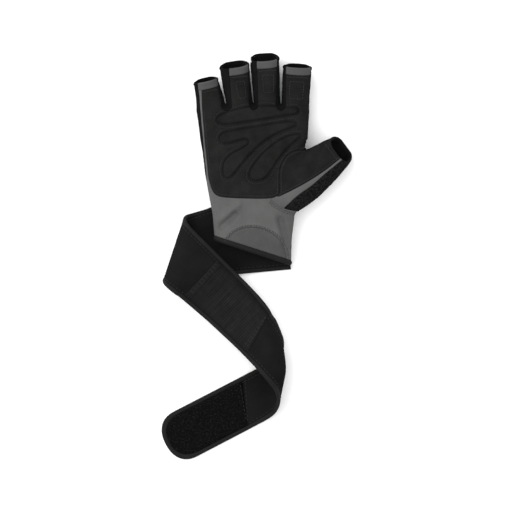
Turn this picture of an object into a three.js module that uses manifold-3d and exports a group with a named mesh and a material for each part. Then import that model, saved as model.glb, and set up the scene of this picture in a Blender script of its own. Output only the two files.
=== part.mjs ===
// A fingerless weightlifting glove that lies palm up, with its wrist strap laid out beside it.
// Millimetres. X runs towards the thumb, Y towards the fingers and Z up from the table.
// The glove is worked out round its own origin, the middle of the palm on the wrist line,
// and the whole is then moved so that the middle of its underside is the origin.
import * as THREE from "three";
import { mergeVertices } from "three/addons/utils/BufferGeometryUtils.js";
import Module from "manifold-3d";

const wasm = await Module();
wasm.setup();

// Palm and cuff
const PALM_WIDTH = 98.5; // across the knuckles
const PALM_LENGTH = 149; // wrist line to the finger crotches
const PALM_DEPTH = 33; // table to the highest part of the palm
const CUFF_LEFT = 28; // wrist line to the cuff's edge, little-finger side
const CUFF_RIGHT = 6; // wrist line to the cuff's edge, thumb side
const MOON_WIDTH = 56;
const MOON_HEIGHT = 22;

// Fingers: from the crotch line to the middle of the opening, width and depth of the opening
const PINKY_LENGTH = 22;
const PINKY_WIDTH = 22;
const PINKY_DEPTH = 19;
const RING_LENGTH = 35.5;
const RING_WIDTH = 26.6;
const RING_DEPTH = 21;
const MIDDLE_LENGTH = 42;
const MIDDLE_WIDTH = 26.2;
const MIDDLE_DEPTH = 21.5;
const INDEX_LENGTH = 34.5;
const INDEX_WIDTH = 25.6;
const INDEX_DEPTH = 20;
const FINGER_RISE = 11; // how far a fingertip's underside lifts off the table
const FINGER_ROOT_DEPTH = 27;

// Thumb: from the foot of its mound to the middle of the opening
const THUMB_LENGTH = 63;
const THUMB_WIDTH = 27;
const THUMB_DEPTH = 25;
const THUMB_RISE = 8;
const THUMB_ANGLE = THREE.MathUtils.degToRad(36.4);

// Cloth, leather and hems
const WALL = 1.8;
const PAD_THICKNESS = 2;
const FINGER_BAND_WIDTH = 6;
const FINGER_HEM_WIDTH = 3;
const WRIST_HEM_WIDTH = 4;
const HEM_PROUD = 0.4;
const SEAM_GAP = 0.3; // between pieces sewn edge to edge
const CLEARANCE = 0.3; // between pieces that lie face to face

// Strap
const STRAP_WIDTH = 63; // at the wrist
const STRAP_END_WIDTH = 45;
const STRAP_THICKNESS = 2.4;
const STRAP_UNDER = 89.5; // wrist to the first crease
const STRAP_ACROSS = 110; // first roll to the second crease
const STRAP_TONGUE = 95.5; // second roll to the round end
const STRAP_FOOT = 1.5; // wrist line to the strap's near edge
const STRAP_HEADING = THREE.MathUtils.degToRad(186);
const FIRST_CREASE = THREE.MathUtils.degToRad(251.6);
const FIRST_ROLL = 10.3; // radius of the roll
const SECOND_CREASE = THREE.MathUtils.degToRad(258.4);
const SECOND_ROLL = 17.4;
const SECOND_EASE = 0.42; // the share by which it is lower along the strap's upper edge
const STRAP_BEND = THREE.MathUtils.degToRad(-7.8); // in its own plane, between the rolls
const STRAP_BEND_FROM = 0.45; // where the bend starts, as a share of STRAP_ACROSS
const STRAP_SAG = 0.75; // the share of STRAP_ACROSS over which it sinks from a roll
const STRAP_SWING = 29; // over which a ruling swings from square to a crease's direction
const TONGUE_ROUND = 22;
const BINDING_WIDTH = 4;
const BINDING_THICKNESS = 3.2;
const WEBBING_START = 22; // from the first roll
const WEBBING_LENGTH = 72;
const WEBBING_THICKNESS = 1.2;
const HOOK_LENGTH = 76;
const HOOK_THICKNESS = 1.6;

// Fineness of the faceted surfaces
const PALM_SIDES = 24;
const FINGER_SIDES = 16;
const THUMB_SIDES = 20;
const ROLL_STEPS = 8;

const SQUARENESS = 0.8; // power of the sections' curve: 1 is an ellipse, 0 a box
const FLATTENING = 1.12; // by which a section's underside would pass its flat base
const FLOOR = -20; // heights below and above the whole glove
const CEILING = 80;
const ROW_STEP = 10; // between the strap's rows of corners
const ROW_APART = 3; // least distance between two of them
const ROUND_STEPS = 8; // rows round the tongue
const MOON_STEPS = 16;
const FOOT_STEPS = 8; // round the foot of a gusset

const SEAT = BINDING_THICKNESS + CLEARANCE; // the cuff's underside, on the strap
const FAR = 400; // beyond the whole glove
const OPEN_END = 6; // how far a hollow runs on past its opening
const MARGIN = 0.2; // by which a cutter is wider than what it cuts

// Across the palm, one row per section from the wrist to the knuckles: place along PALM_LENGTH,
// both edges as shares of PALM_WIDTH, top as a share of PALM_DEPTH, base as a share of SEAT
const PALM_SECTIONS = [
  { along: -0.06, left: -0.345, right: 0.345, top: 0.7, base: 1 },
  { along: 0.19, left: -0.35, right: 0.356, top: 0.78, base: 1 },
  { along: 0.34, left: -0.365, right: 0.38, top: 0.86, base: 1 },
  { along: 0.45, left: -0.397, right: 0.41, top: 0.94, base: 1 },
  { along: 0.6, left: -0.436, right: 0.44, top: 1, base: 0 },
  { along: 0.7, left: -0.454, right: 0.465, top: 1, base: 0 },
  { along: 0.8, left: -0.477, right: 0.487, top: 0.96, base: 0 },
  { along: 0.91, left: -0.498, right: 0.499, top: 0.9, base: 0 },
  { along: 0.97, left: -0.51, right: 0.506, top: 0.82, base: 0.3 },
  { along: 1.005, left: -0.5, right: 0.49, top: 0.6, base: 1 },
];

// One row per finger: middle at the crotch line and at the opening as shares of PALM_WIDTH,
// root width as a share of the opening's, slant of the opening, and how far the leather front
// reaches to the left and right as shares of half the width, at the root and at the opening
const FINGERS = [
  {
    name: "pinky", length: PINKY_LENGTH, width: PINKY_WIDTH, depth: PINKY_DEPTH,
    root: -0.379, tip: -0.429, rootWidth: 1.18, slant: 17,
    frontRoot: [-1.5, 0.76], frontTip: [-1.5, 0.98],
  },
  {
    name: "ring", length: RING_LENGTH, width: RING_WIDTH, depth: RING_DEPTH,
    root: -0.119, tip: -0.169, rootWidth: 0.88, slant: 21,
    frontRoot: [-0.64, 0.79], frontTip: [-0.37, 0.97],
  },
  {
    name: "middle", length: MIDDLE_LENGTH, width: MIDDLE_WIDTH, depth: MIDDLE_DEPTH,
    root: 0.131, tip: 0.105, rootWidth: 0.89, slant: 23,
    frontRoot: [-0.75, 0.73], frontTip: [-0.54, 0.87],
  },
  {
    name: "index", length: INDEX_LENGTH, width: INDEX_WIDTH, depth: INDEX_DEPTH,
    root: 0.384, tip: 0.404, rootWidth: 0.98, slant: 16,
    frontRoot: [-0.72, 1.5], frontTip: [-0.82, 1.5],
  },
];

// Along a finger: place between the crotch line, 0, and the opening, 1, width between the
// root's, 0, and the opening's, 1, lift as a share of FINGER_RISE, and depth between the
// root's, 0, and the opening's, 1
const FINGER_FORM = [
  { along: -1.2, width: -0.1, lift: 0, depth: 0 },
  { along: -0.35, width: 0, lift: 0.02, depth: 0 },
  { along: 0.1, width: 0.1, lift: 0.15, depth: 0.3 },
  { along: 0.55, width: 0.65, lift: 0.5, depth: 0.7 },
  { along: 1, width: 1, lift: 1, depth: 1 },
];

// Along the thumb, back from the middle of its opening: place as a share of THUMB_LENGTH, edges
// as shares of THUMB_WIDTH, underside as a share of THUMB_RISE, depth as a share of THUMB_DEPTH
const THUMB_SECTIONS = [
  { along: -1.2, low: -0.5, high: 0.62, lift: 0.6, depth: 0.8 },
  { along: -1.0, low: -0.79, high: 0.78, lift: 0.5, depth: 1.08 },
  { along: -0.72, low: -0.81, high: 0.78, lift: 0, depth: 1.24 },
  { along: -0.45, low: -0.735, high: 0.7, lift: 0.12, depth: 1.18 },
  { along: -0.26, low: -0.655, high: 0.63, lift: 0.4, depth: 1.1 },
  { along: -0.1, low: -0.56, high: 0.56, lift: 0.75, depth: 1.04 },
  { along: 0, low: -0.5, high: 0.51, lift: 1, depth: 1 },
];
const THUMB_SLANT = 25;
const THUMB_OPENING = { x: 0.799 * PALM_WIDTH, y: 0.731 * PALM_LENGTH };

// The seam between back and palm side: heights as shares of PALM_DEPTH, the place where it starts
// to rise as a share of PALM_LENGTH, and rises as shares of FINGER_RISE and THUMB_RISE
const SEAM = {
  height: 0.42,
  moundHeight: 0.19,
  moundThumb: 0.7,
  fingersFrom: 0.93,
  fingersCurve: 1.3,
  fingersMost: 1.2,
  pinkyFrom: 0.4,
  pinkySide: 0.9,
  thumb: 0.35,
};

// Outlines seen from above, as shares of PALM_WIDTH and PALM_LENGTH
const LEATHER_EDGE = [
  [-0.466, 1.1], [-0.463, 0.97], [-0.45, 0.86], [-0.438, 0.76], [-0.42, 0.65], [-0.406, 0.56],
  [-0.386, 0.51], [-0.355, 0.47], [-0.31, 0.45], [-0.247, 0.443], [-0.06, 0.437], [0.137, 0.437],
  [0.2, 0.444], [0.235, 0.462],
];
const THUMB_SEAM = [
  [0.235, 0.462], [0.242, 0.5], [0.238, 0.55], [0.243, 0.6], [0.268, 0.655], [0.315, 0.7],
  [0.384, 0.723], [0.47, 0.731],
];
const THUMB_FOOT = [
  [0.165, 0.43], [0.18, 0.42], [0.218, 0.4], [0.276, 0.38], [0.33, 0.368], [0.41, 0.357],
];
const KNUCKLE_PAD = [
  [-0.33, 0.905], [-0.3, 0.93], [-0.25, 0.948], [-0.13, 0.972], [0.02, 0.988], [0.155, 0.989],
  [0.3, 0.98], [0.4, 0.976], [0.405, 0.952], [0.23, 0.928], [0.03, 0.906], [-0.16, 0.887],
  [-0.28, 0.884],
];
const PALM_PAD = [
  [-0.3, 0.79], [-0.28, 0.822], [-0.165, 0.843], [0.03, 0.865], [0.23, 0.887], [0.36, 0.895],
  [0.393, 0.88], [0.33, 0.858], [0.19, 0.818], [0.075, 0.767], [-0.037, 0.696], [-0.13, 0.622],
  [-0.205, 0.565], [-0.245, 0.56], [-0.268, 0.6], [-0.255, 0.655], [-0.2, 0.697], [-0.1, 0.735],
  [-0.037, 0.765], [-0.045, 0.79], [-0.1, 0.79], [-0.2, 0.77], [-0.268, 0.768],
];
const THUMB_SIDE_PAD = [
  [0.434, 0.818], [0.34, 0.813], [0.228, 0.777], [0.114, 0.718], [0.016, 0.643], [-0.028, 0.586],
  [-0.015, 0.552], [0.045, 0.545], [0.107, 0.562], [0.164, 0.607], [0.22, 0.667], [0.297, 0.731],
  [0.38, 0.782],
];

// The grey strip on the thumb, in the thumb's own shares: along it from the opening, and across
const THUMB_STRIP_UPPER = [
  [-1.1, -0.04], [-0.9, -0.13], [-0.64, -0.21], [-0.4, -0.25], [-0.15, -0.24], [0.3, -0.2],
];
const THUMB_STRIP_LOWER = [
  [-1.2, -0.46], [-0.88, -0.375], [-0.64, -0.385], [-0.4, -0.335], [-0.15, -0.31], [0.3, -0.27],
];

// Width of the strap, by the share of its length: 1 as at the wrist, 0 as at the tongue
const STRAP_TAPER = [
  { at: 0, width: 0.97 },
  { at: 0.12, width: 0.89 },
  { at: 0.18, width: 1.16 },
  { at: 0.24, width: 0.66 },
  { at: 0.3, width: 0.52 },
  { at: 0.37, width: 0.34 },
  { at: 0.5, width: 0.14 },
  { at: 0.57, width: -0.2 },
  { at: 0.63, width: -0.3 },
  { at: 0.7, width: 0 },
  { at: 1.01, width: 0.04 },
];

const COLOURS = {
  stretch: { color: "#1f2021", roughness: 0.9 },
  grey: { color: "#6f6f70", roughness: 0.85 },
  moon: { color: "#646465", roughness: 0.9 },
  leather: { color: "#272727", roughness: 0.8 },
  towel: { color: "#1c1c1c", roughness: 1 },
  band: { color: "#4b4b4c", roughness: 0.85 },
  binding: { color: "#2b2b2b", roughness: 0.75 },
  strap: { color: "#202121", roughness: 0.85 },
  webbing: { color: "#252628", roughness: 0.7 },
  hook: { color: "#161616", roughness: 0.6 },
};

const { clamp, degToRad, smoothstep } = THREE.MathUtils;
const mix = (a, b, t) => a + (b - a) * t;
const signedPower = (v, power) => Math.sign(v) * Math.abs(v) ** power;

// A solid from corners and triangles, turned so that its faces point out.
function solidFrom(corners, triangles) {
  const vertProperties = new Float32Array(corners.flat());
  const made = new wasm.Manifold(
    new wasm.Mesh({ numProp: 3, vertProperties, triVerts: new Uint32Array(triangles.flat()) }),
  );
  if (made.volume() > 0) return made;
  const turned = triangles.map(([a, b, c]) => [a, c, b]);
  return new wasm.Manifold(
    new wasm.Mesh({ numProp: 3, vertProperties, triVerts: new Uint32Array(turned.flat()) }),
  );
}

// A solid through rings of points with the same count, closed by a fan at each end.
function loft(rings) {
  const sides = rings[0].length;
  const corners = rings.flat();
  const triangles = [];
  for (let r = 0; r + 1 < rings.length; r++) {
    for (let k = 0; k < sides; k++) {
      const a = r * sides + k;
      const b = r * sides + ((k + 1) % sides);
      triangles.push([a, b, b + sides], [a, b + sides, a + sides]);
    }
  }
  for (const [ring, start] of [[rings[0], 0], [rings.at(-1), (rings.length - 1) * sides]]) {
    const hub = corners.length;
    corners.push([0, 1, 2].map((axis) => ring.reduce((sum, p) => sum + p[axis], 0) / sides));
    for (let k = 0; k < sides; k++) {
      const a = start + k;
      const b = start + ((k + 1) % sides);
      triangles.push(start === 0 ? [hub, b, a] : [hub, a, b]);
    }
  }
  return solidFrom(corners, triangles);
}

// A rounded section with a flattened base, square to a direction in plan and leaning by a slant.
function section({ x, y, heading, left, right, base, top, slant = 0 }, inset, sides) {
  const low = base + inset;
  const high = top - inset;
  const waist = (low + high) / 2;
  const half = (high - low) / 2;
  const lean = Math.tan(slant);
  return Array.from({ length: sides }, (_, k) => {
    const angle = (2 * Math.PI * k) / sides;
    const across = signedPower(Math.cos(angle), SQUARENESS);
    const side = across > 0 ? across * (right - inset) : -across * (left + inset);
    const rise = signedPower(Math.sin(angle), SQUARENESS);
    const up = Math.max(-1, rise < 0 ? rise * FLATTENING : rise);
    const back = -up * half * lean;
    return [
      x + side * Math.sin(heading) + back * Math.cos(heading),
      y - side * Math.cos(heading) + back * Math.sin(heading),
      waist + up * half,
    ];
  });
}

const palmLoft = (inset) =>
  loft(
    PALM_SECTIONS.map((row, index) =>
      section(
        {
          x: 0,
          y: row.along * PALM_LENGTH - (index === PALM_SECTIONS.length - 1 ? inset : 0),
          heading: Math.PI / 2,
          left: row.left * PALM_WIDTH,
          right: row.right * PALM_WIDTH,
          base: row.base * SEAT,
          top: row.top * PALM_DEPTH,
        },
        inset,
        PALM_SIDES,
      ),
    ),
  );

// Where a finger is at a share of its length from the crotch line
function fingerPlan(finger, along) {
  const reach = along * finger.length;
  const heading = Math.atan2(finger.length, (finger.tip - finger.root) * PALM_WIDTH);
  return {
    x: mix(finger.root, finger.tip, along) * PALM_WIDTH,
    y: PALM_LENGTH + reach,
    heading,
  };
}

function fingerSection(finger, row, inset, grow = 0) {
  const half = (finger.width / 2) * mix(finger.rootWidth, 1, row.width) + grow;
  const base = row.lift * FINGER_RISE;
  const depth = mix(FINGER_ROOT_DEPTH, finger.depth, row.depth);
  const slant = degToRad(finger.slant) * Math.max(0, row.along);
  const frame = { left: -half, right: half, base: base - grow, top: base + depth + grow, slant };
  return section({ ...fingerPlan(finger, row.along), ...frame }, inset, FINGER_SIDES);
}

// A finger's tube; a hollow one runs on past the opening so that the tube stays open.
function fingerLoft(finger, inset, past = 0) {
  const rows = [...FINGER_FORM];
  if (past > 0) rows.push({ ...FINGER_FORM.at(-1), along: 1 + past / finger.length });
  return loft(rows.map((row) => fingerSection(finger, row, inset)));
}

// Everything from a distance before an opening outwards, along a plane with the opening's slant
function slab(opening, slant, distance) {
  const reach = 60;
  const lean = Math.tan(slant);
  const ring = (shift) =>
    [[-reach, -reach], [reach, -reach], [reach, reach], [-reach, reach]].map(([side, up]) => {
      const ahead = shift - up * lean;
      return [
        opening.x + side * Math.sin(opening.heading) + ahead * Math.cos(opening.heading),
        opening.y - side * Math.cos(opening.heading) + ahead * Math.sin(opening.heading),
        opening.waist + up,
      ];
    });
  return loft([ring(-distance), ring(reach)]);
}

// The stretch of a finger within a distance of its opening
function fingerEnd(finger, distance) {
  const opening = { ...fingerPlan(finger, 1), waist: FINGER_RISE + finger.depth / 2 };
  const plane = slab(opening, degToRad(finger.slant), distance);
  return fingerLoft(finger, -HEM_PROUD - MARGIN, OPEN_END).intersect(plane);
}

function thumbPlan(along, across) {
  const reach = along * THUMB_LENGTH;
  const side = across * THUMB_WIDTH;
  return [
    THUMB_OPENING.x + reach * Math.cos(THUMB_ANGLE) - side * Math.sin(THUMB_ANGLE),
    THUMB_OPENING.y + reach * Math.sin(THUMB_ANGLE) + side * Math.cos(THUMB_ANGLE),
  ];
}

// The reverse: shares of THUMB_LENGTH and THUMB_WIDTH at a point seen from above
function thumbShares(x, y) {
  const dx = x - THUMB_OPENING.x;
  const dy = y - THUMB_OPENING.y;
  return [
    (dx * Math.cos(THUMB_ANGLE) + dy * Math.sin(THUMB_ANGLE)) / THUMB_LENGTH,
    (dy * Math.cos(THUMB_ANGLE) - dx * Math.sin(THUMB_ANGLE)) / THUMB_WIDTH,
  ];
}

function thumbSection(row, inset) {
  const [x, y] = thumbPlan(row.along, 0);
  return section(
    {
      x,
      y,
      heading: THUMB_ANGLE,
      left: -row.high * THUMB_WIDTH,
      right: -row.low * THUMB_WIDTH,
      base: row.lift * THUMB_RISE,
      top: row.lift * THUMB_RISE + row.depth * THUMB_DEPTH,
      slant: degToRad(THUMB_SLANT) * Math.max(0, 1 + row.along),
    },
    inset,
    THUMB_SIDES,
  );
}

function thumbLoft(inset, past = 0) {
  const rows = [...THUMB_SECTIONS];
  if (past > 0) rows.push({ ...THUMB_SECTIONS.at(-1), along: past / THUMB_LENGTH });
  return loft(rows.map((row) => thumbSection(row, inset)));
}

function thumbEnd(distance) {
  const opening = { ...THUMB_OPENING, heading: THUMB_ANGLE, waist: THUMB_RISE + THUMB_DEPTH / 2 };
  const plane = slab(opening, degToRad(THUMB_SLANT), distance);
  return thumbLoft(-HEM_PROUD - MARGIN, OPEN_END).intersect(plane);
}

// The glove's whole form, drawn in by an inset
function form(inset, past = 0) {
  return FINGERS.reduce(
    (whole, finger) => whole.add(fingerLoft(finger, inset, past)),
    palmLoft(inset).add(thumbLoft(inset, past)),
  );
}

// An upright block over an outline seen from above, in millimetres
function prism(outline) {
  const shape = new THREE.Shape(outline.map(([x, y]) => new THREE.Vector2(x, y)));
  const geometry = new THREE.ExtrudeGeometry(shape, { depth: CEILING - FLOOR, bevelEnabled: false });
  geometry.translate(0, 0, FLOOR);
  geometry.deleteAttribute("normal");
  geometry.deleteAttribute("uv");
  const merged = mergeVertices(geometry, 1e-4);
  return new wasm.Manifold(
    new wasm.Mesh({
      numProp: 3,
      vertProperties: merged.attributes.position.array,
      triVerts: new Uint32Array(merged.index.array),
    }),
  );
}

const palmPoints = (shares) => shares.map(([x, y]) => [x * PALM_WIDTH, y * PALM_LENGTH]);
const thumbPoints = (shares) => shares.map(([along, across]) => thumbPlan(along, across));

// A smooth line through points, closed or open
function smooth(points, closed, steps) {
  const curve = new THREE.CatmullRomCurve3(
    points.map(([x, y]) => new THREE.Vector3(x, y, 0)),
    closed,
    "centripetal",
  );
  const line = curve.getPoints(steps).map((p) => [p.x, p.y]);
  return closed ? line.slice(0, -1) : line;
}

// An outline moved outwards by a distance, whichever way round it runs
function grown(outline, distance) {
  const corners = outline.map(([x, y]) => new THREE.Vector2(x, y));
  const turn = THREE.ShapeUtils.isClockWise(corners) ? -1 : 1;
  return outline.map(([x, y], k) => {
    const [ax, ay] = outline.at(k - 1);
    const [bx, by] = outline[(k + 1) % outline.length];
    const size = Math.hypot(bx - ax, by - ay);
    return [x + (turn * distance * (by - ay)) / size, y - (turn * distance * (bx - ax)) / size];
  });
}

// Height of the seam between the back of the glove and its palm side: level along the palm,
// rising with the fingers and the thumb, and low along the outer side of the thumb's mound
function seamHeight(x, y) {
  const across = x / PALM_WIDTH;
  const up = y / PALM_LENGTH;
  const past = Math.max(0, y - SEAM.fingersFrom * PALM_LENGTH) / MIDDLE_LENGTH;
  const fingers = FINGER_RISE * Math.min(SEAM.fingersMost, past ** SEAM.fingersCurve);
  const pinkySide = SEAM.pinkySide * Math.max(0, -across - SEAM.pinkyFrom) * up ** 2 * PALM_DEPTH;
  const [along, aside] = thumbShares(x, y);
  const near = smoothstep(along, -1, -0.4) * (1 - smoothstep(up, 0.85, 1));
  const thumb = near * THUMB_RISE * (SEAM.thumb + Math.max(-0.4, along));
  const lowSide = smoothstep(-aside, 0.15, 0.5) * smoothstep(along, -1.25, -1);
  const usual = SEAM.height * PALM_DEPTH + fingers + pinkySide + thumb;
  return mix(usual, SEAM.moundHeight * PALM_DEPTH + SEAM.moundThumb * Math.max(0, thumb), lowSide);
}

// Everything above the seam, or below it, beyond half a gap
function seamSide(above) {
  const columns = 10;
  const rows = 12;
  const low = [-0.75 * PALM_WIDTH, -0.15 * PALM_LENGTH];
  const high = [PALM_WIDTH, 1.45 * PALM_LENGTH];
  const limit = above ? CEILING : FLOOR;
  const shift = above ? SEAM_GAP / 2 : -SEAM_GAP / 2;
  const corners = [];
  for (let j = 0; j <= rows; j++) {
    for (let i = 0; i <= columns; i++) {
      const x = mix(low[0], high[0], i / columns);
      const y = mix(low[1], high[1], j / rows);
      corners.push([x, y, seamHeight(x, y) + shift]);
    }
  }
  const count = corners.length;
  corners.push(...corners.map(([x, y]) => [x, y, limit]));
  const triangles = [];
  const stride = columns + 1;
  for (let j = 0; j < rows; j++) {
    for (let i = 0; i < columns; i++) {
      const a = j * stride + i;
      const quad = [a, a + 1, a + 1 + stride, a + stride];
      for (const [p, q, r] of [[0, 1, 2], [0, 2, 3]]) {
        triangles.push([quad[p], quad[q], quad[r]]);
        triangles.push([quad[p] + count, quad[r] + count, quad[q] + count]);
      }
    }
  }
  const rim = [];
  for (let i = 0; i < columns; i++) rim.push(i);
  for (let j = 0; j < rows; j++) rim.push(columns + j * stride);
  for (let i = columns; i > 0; i--) rim.push(rows * stride + i);
  for (let j = rows; j > 0; j--) rim.push(j * stride);
  rim.forEach((a, k) => {
    const b = rim[(k + 1) % rim.length];
    triangles.push([a, a + count, b + count], [a, b + count, b]);
  });
  return solidFrom(corners, triangles);
}

// The side of the slanted wrist cut away from the fingers, moved up by a distance
function belowCuff(distance) {
  const left = -0.35 * PALM_WIDTH;
  const right = 0.35 * PALM_WIDTH;
  const slope = (CUFF_RIGHT - CUFF_LEFT) / (right - left);
  const lift = distance * Math.hypot(1, slope);
  const at = (x) => CUFF_LEFT + (x - left) * slope + lift;
  return prism([[-FAR, at(-FAR)], [-FAR, -3 * FAR], [FAR, -3 * FAR], [FAR, at(FAR)]]);
}

// The largest body of a solid, without the crumbs that a cut can leave
function main(solid) {
  return solid.decompose().reduce((best, next) => (next.volume() > best.volume() ? next : best));
}

const group = new THREE.Group();

function add(name, solid, finish) {
  const mesh = main(solid).getMesh();
  const geometry = new THREE.BufferGeometry();
  const corners = new Float32Array(mesh.numVert * 3);
  for (let k = 0; k < mesh.numVert; k++) {
    corners.set(mesh.vertProperties.subarray(k * mesh.numProp, k * mesh.numProp + 3), k * 3);
  }
  geometry.setAttribute("position", new THREE.BufferAttribute(corners, 3));
  geometry.setIndex(new THREE.BufferAttribute(mesh.triVerts, 1));
  geometry.computeVertexNormals();
  const piece = new THREE.Mesh(geometry, new THREE.MeshStandardMaterial({ metalness: 0, ...finish }));
  piece.name = name;
  group.add(piece);
}

// The hollow glove, open at the wrist, the fingers and the thumb, and its two sides
const shell = form(0).subtract(form(WALL, OPEN_END)).subtract(belowCuff(0));
const palmSide = shell.intersect(seamSide(true));
const backSide = shell.intersect(seamSide(false));

// Rolled hems on the back of each opening
let back = backSide;
for (const finger of FINGERS) {
  const ring = fingerLoft(finger, -HEM_PROUD).subtract(fingerLoft(finger, WALL + HEM_PROUD, OPEN_END));
  const hem = ring.intersect(fingerEnd(finger, FINGER_HEM_WIDTH)).intersect(seamSide(false));
  add(`finger_hem_${finger.name}`, hem, COLOURS.stretch);
  back = back.subtract(fingerEnd(finger, FINGER_HEM_WIDTH + SEAM_GAP));
}
const thumbRing = thumbLoft(-HEM_PROUD).subtract(thumbLoft(WALL + HEM_PROUD, OPEN_END));
const thumbHem = thumbRing.intersect(thumbEnd(FINGER_HEM_WIDTH)).intersect(seamSide(false));
add("thumb_hem", thumbHem, COLOURS.stretch);
back = back.subtract(thumbEnd(FINGER_HEM_WIDTH + SEAM_GAP));
add("back_panel", back, COLOURS.stretch);

// The black gussets between neighbouring fingers, each with a round foot at the crotch
function gussetOutline(left, right) {
  const edge = (finger, side, along) => {
    const plan = fingerPlan(finger, along);
    const share = mix(finger.frontRoot[side], finger.frontTip[side], along);
    const aside = (share * finger.width * mix(finger.rootWidth, 1, along)) / 2;
    return [plan.x + aside * Math.sin(plan.heading), plan.y - aside * Math.cos(plan.heading)];
  };
  const leftFoot = edge(left, 1, 0);
  const rightFoot = edge(right, 0, 0);
  const middle = [(leftFoot[0] + rightFoot[0]) / 2, PALM_LENGTH - 1];
  const radius = (rightFoot[0] - leftFoot[0]) / 2;
  const foot = Array.from({ length: FOOT_STEPS - 1 }, (_, k) => {
    const angle = Math.PI + (Math.PI * (k + 1)) / FOOT_STEPS;
    return [middle[0] + radius * Math.cos(angle), middle[1] + radius * Math.sin(angle)];
  });
  return [edge(left, 1, 1.5), leftFoot, ...foot, rightFoot, edge(right, 0, 1.5)];
}

const gussets = FINGERS.slice(1).map((finger, k) => gussetOutline(FINGERS[k], finger));
let front = palmSide;
gussets.forEach((outline, k) => {
  const names = `${FINGERS[k].name}_${FINGERS[k + 1].name}`;
  add(`fourchette_${names}`, palmSide.intersect(prism(outline)), COLOURS.stretch);
  front = front.subtract(prism(grown(outline, SEAM_GAP)));
});

// Grey bands on the palm side of the openings
for (const finger of FINGERS) {
  const band = front.intersect(fingerEnd(finger, FINGER_BAND_WIDTH));
  add(`finger_band_${finger.name}`, band, COLOURS.band);
  front = front.subtract(fingerEnd(finger, FINGER_BAND_WIDTH + SEAM_GAP));
}

// Leather of the palm and the fronts of the fingers
const leatherEdge = smooth(palmPoints(LEATHER_EDGE), false, 26);
const thumbSeam = smooth(palmPoints(THUMB_SEAM), false, 14);
const leatherTop = palmPoints([[0.54, 0.8], [0.7, 1.5], [LEATHER_EDGE[0][0], 1.5]]);
const leatherOutline = [...leatherEdge, ...thumbSeam.slice(1), ...leatherTop];
add("palm_leather", front.intersect(prism(leatherOutline)), COLOURS.leather);
front = front.subtract(prism(grown(leatherOutline, SEAM_GAP)));

// Thumb: leather, grey strip and towelling, all above the foot seam
const stripUpper = smooth(thumbPoints(THUMB_STRIP_UPPER), false, 14);
const stripLower = smooth(thumbPoints(THUMB_STRIP_LOWER), false, 14);
const thumbFoot = smooth(palmPoints(THUMB_FOOT), false, 10);
const outsideThumb = [
  ...thumbFoot, [PALM_WIDTH, thumbFoot.at(-1)[1]], [PALM_WIDTH, FAR], [thumbFoot[0][0], FAR],
];
const thumbArea = front.intersect(prism(outsideThumb));
const corner = [THUMB_OPENING.x + THUMB_WIDTH, THUMB_OPENING.y + THUMB_WIDTH];
const leatherSide = [...stripUpper, corner, [0, FAR], [-FAR, FAR], [-FAR, stripUpper[0][1]]];
const towelSide = [...stripLower, [FAR, THUMB_OPENING.y], [FAR, -FAR], [stripLower[0][0], -FAR]];
add("thumb_leather", thumbArea.intersect(prism(leatherSide)), COLOURS.leather);
add("thumb_towel_panel", thumbArea.intersect(prism(towelSide)), COLOURS.towel);
const strip = thumbArea
  .subtract(prism(grown(leatherSide, SEAM_GAP)))
  .subtract(prism(grown(towelSide, SEAM_GAP)));
add("thumb_side_strip", strip, COLOURS.grey);
front = front.subtract(prism(grown(outsideThumb, SEAM_GAP)));

// Bound edge of the cuff on the palm side
const cuffRing = form(-HEM_PROUD).subtract(form(WALL + HEM_PROUD, OPEN_END)).intersect(seamSide(true));
const wristHem = cuffRing.intersect(belowCuff(WRIST_HEM_WIDTH)).subtract(belowCuff(0));
add("wrist_hem", wristHem, COLOURS.binding);
front = front.subtract(belowCuff(WRIST_HEM_WIDTH + SEAM_GAP));

// Half-moon above the hem, half an ellipse that stands on the slanted cuff edge
function moonOutline() {
  const slant = Math.atan2(CUFF_RIGHT - CUFF_LEFT, 0.7 * PALM_WIDTH);
  const foot = [0.025 * PALM_WIDTH, (CUFF_LEFT + CUFF_RIGHT) / 2];
  return Array.from({ length: MOON_STEPS + 3 }, (_, k) => {
    const angle = (Math.PI * (k - 1)) / MOON_STEPS;
    const across = (MOON_WIDTH / 2) * Math.cos(angle);
    const up = MOON_HEIGHT * Math.sin(angle);
    return [
      foot[0] + across * Math.cos(slant) - up * Math.sin(slant),
      foot[1] + across * Math.sin(slant) + up * Math.cos(slant),
    ];
  });
}
add("half_moon_insert", front.intersect(prism(moonOutline())), COLOURS.moon);
add("wrist_cuff", front.subtract(prism(grown(moonOutline(), SEAM_GAP))), COLOURS.grey);

// Pads, a layer on the leather inside their outlines
const padLayer = form(-CLEARANCE - PAD_THICKNESS).subtract(form(-CLEARANCE)).intersect(seamSide(true));
const pads = { knuckle_pad: KNUCKLE_PAD, palm_pad: PALM_PAD, thumb_side_pad: THUMB_SIDE_PAD };
for (const [name, shares] of Object.entries(pads)) {
  const outline = smooth(palmPoints(shares), true, 2 * shares.length);
  add(name, padLayer.intersect(prism(outline)), COLOURS.leather);
}

// The strap as a flat strip that is rolled over at two creases. A frame carries the strip's plan:
// the point at a distance u along it, its heading, and which way the strip's left side lies.
const plan = (angle) => [Math.cos(angle), Math.sin(angle)];
const dot = (a, b) => a[0] * b[0] + a[1] * b[1];

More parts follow.
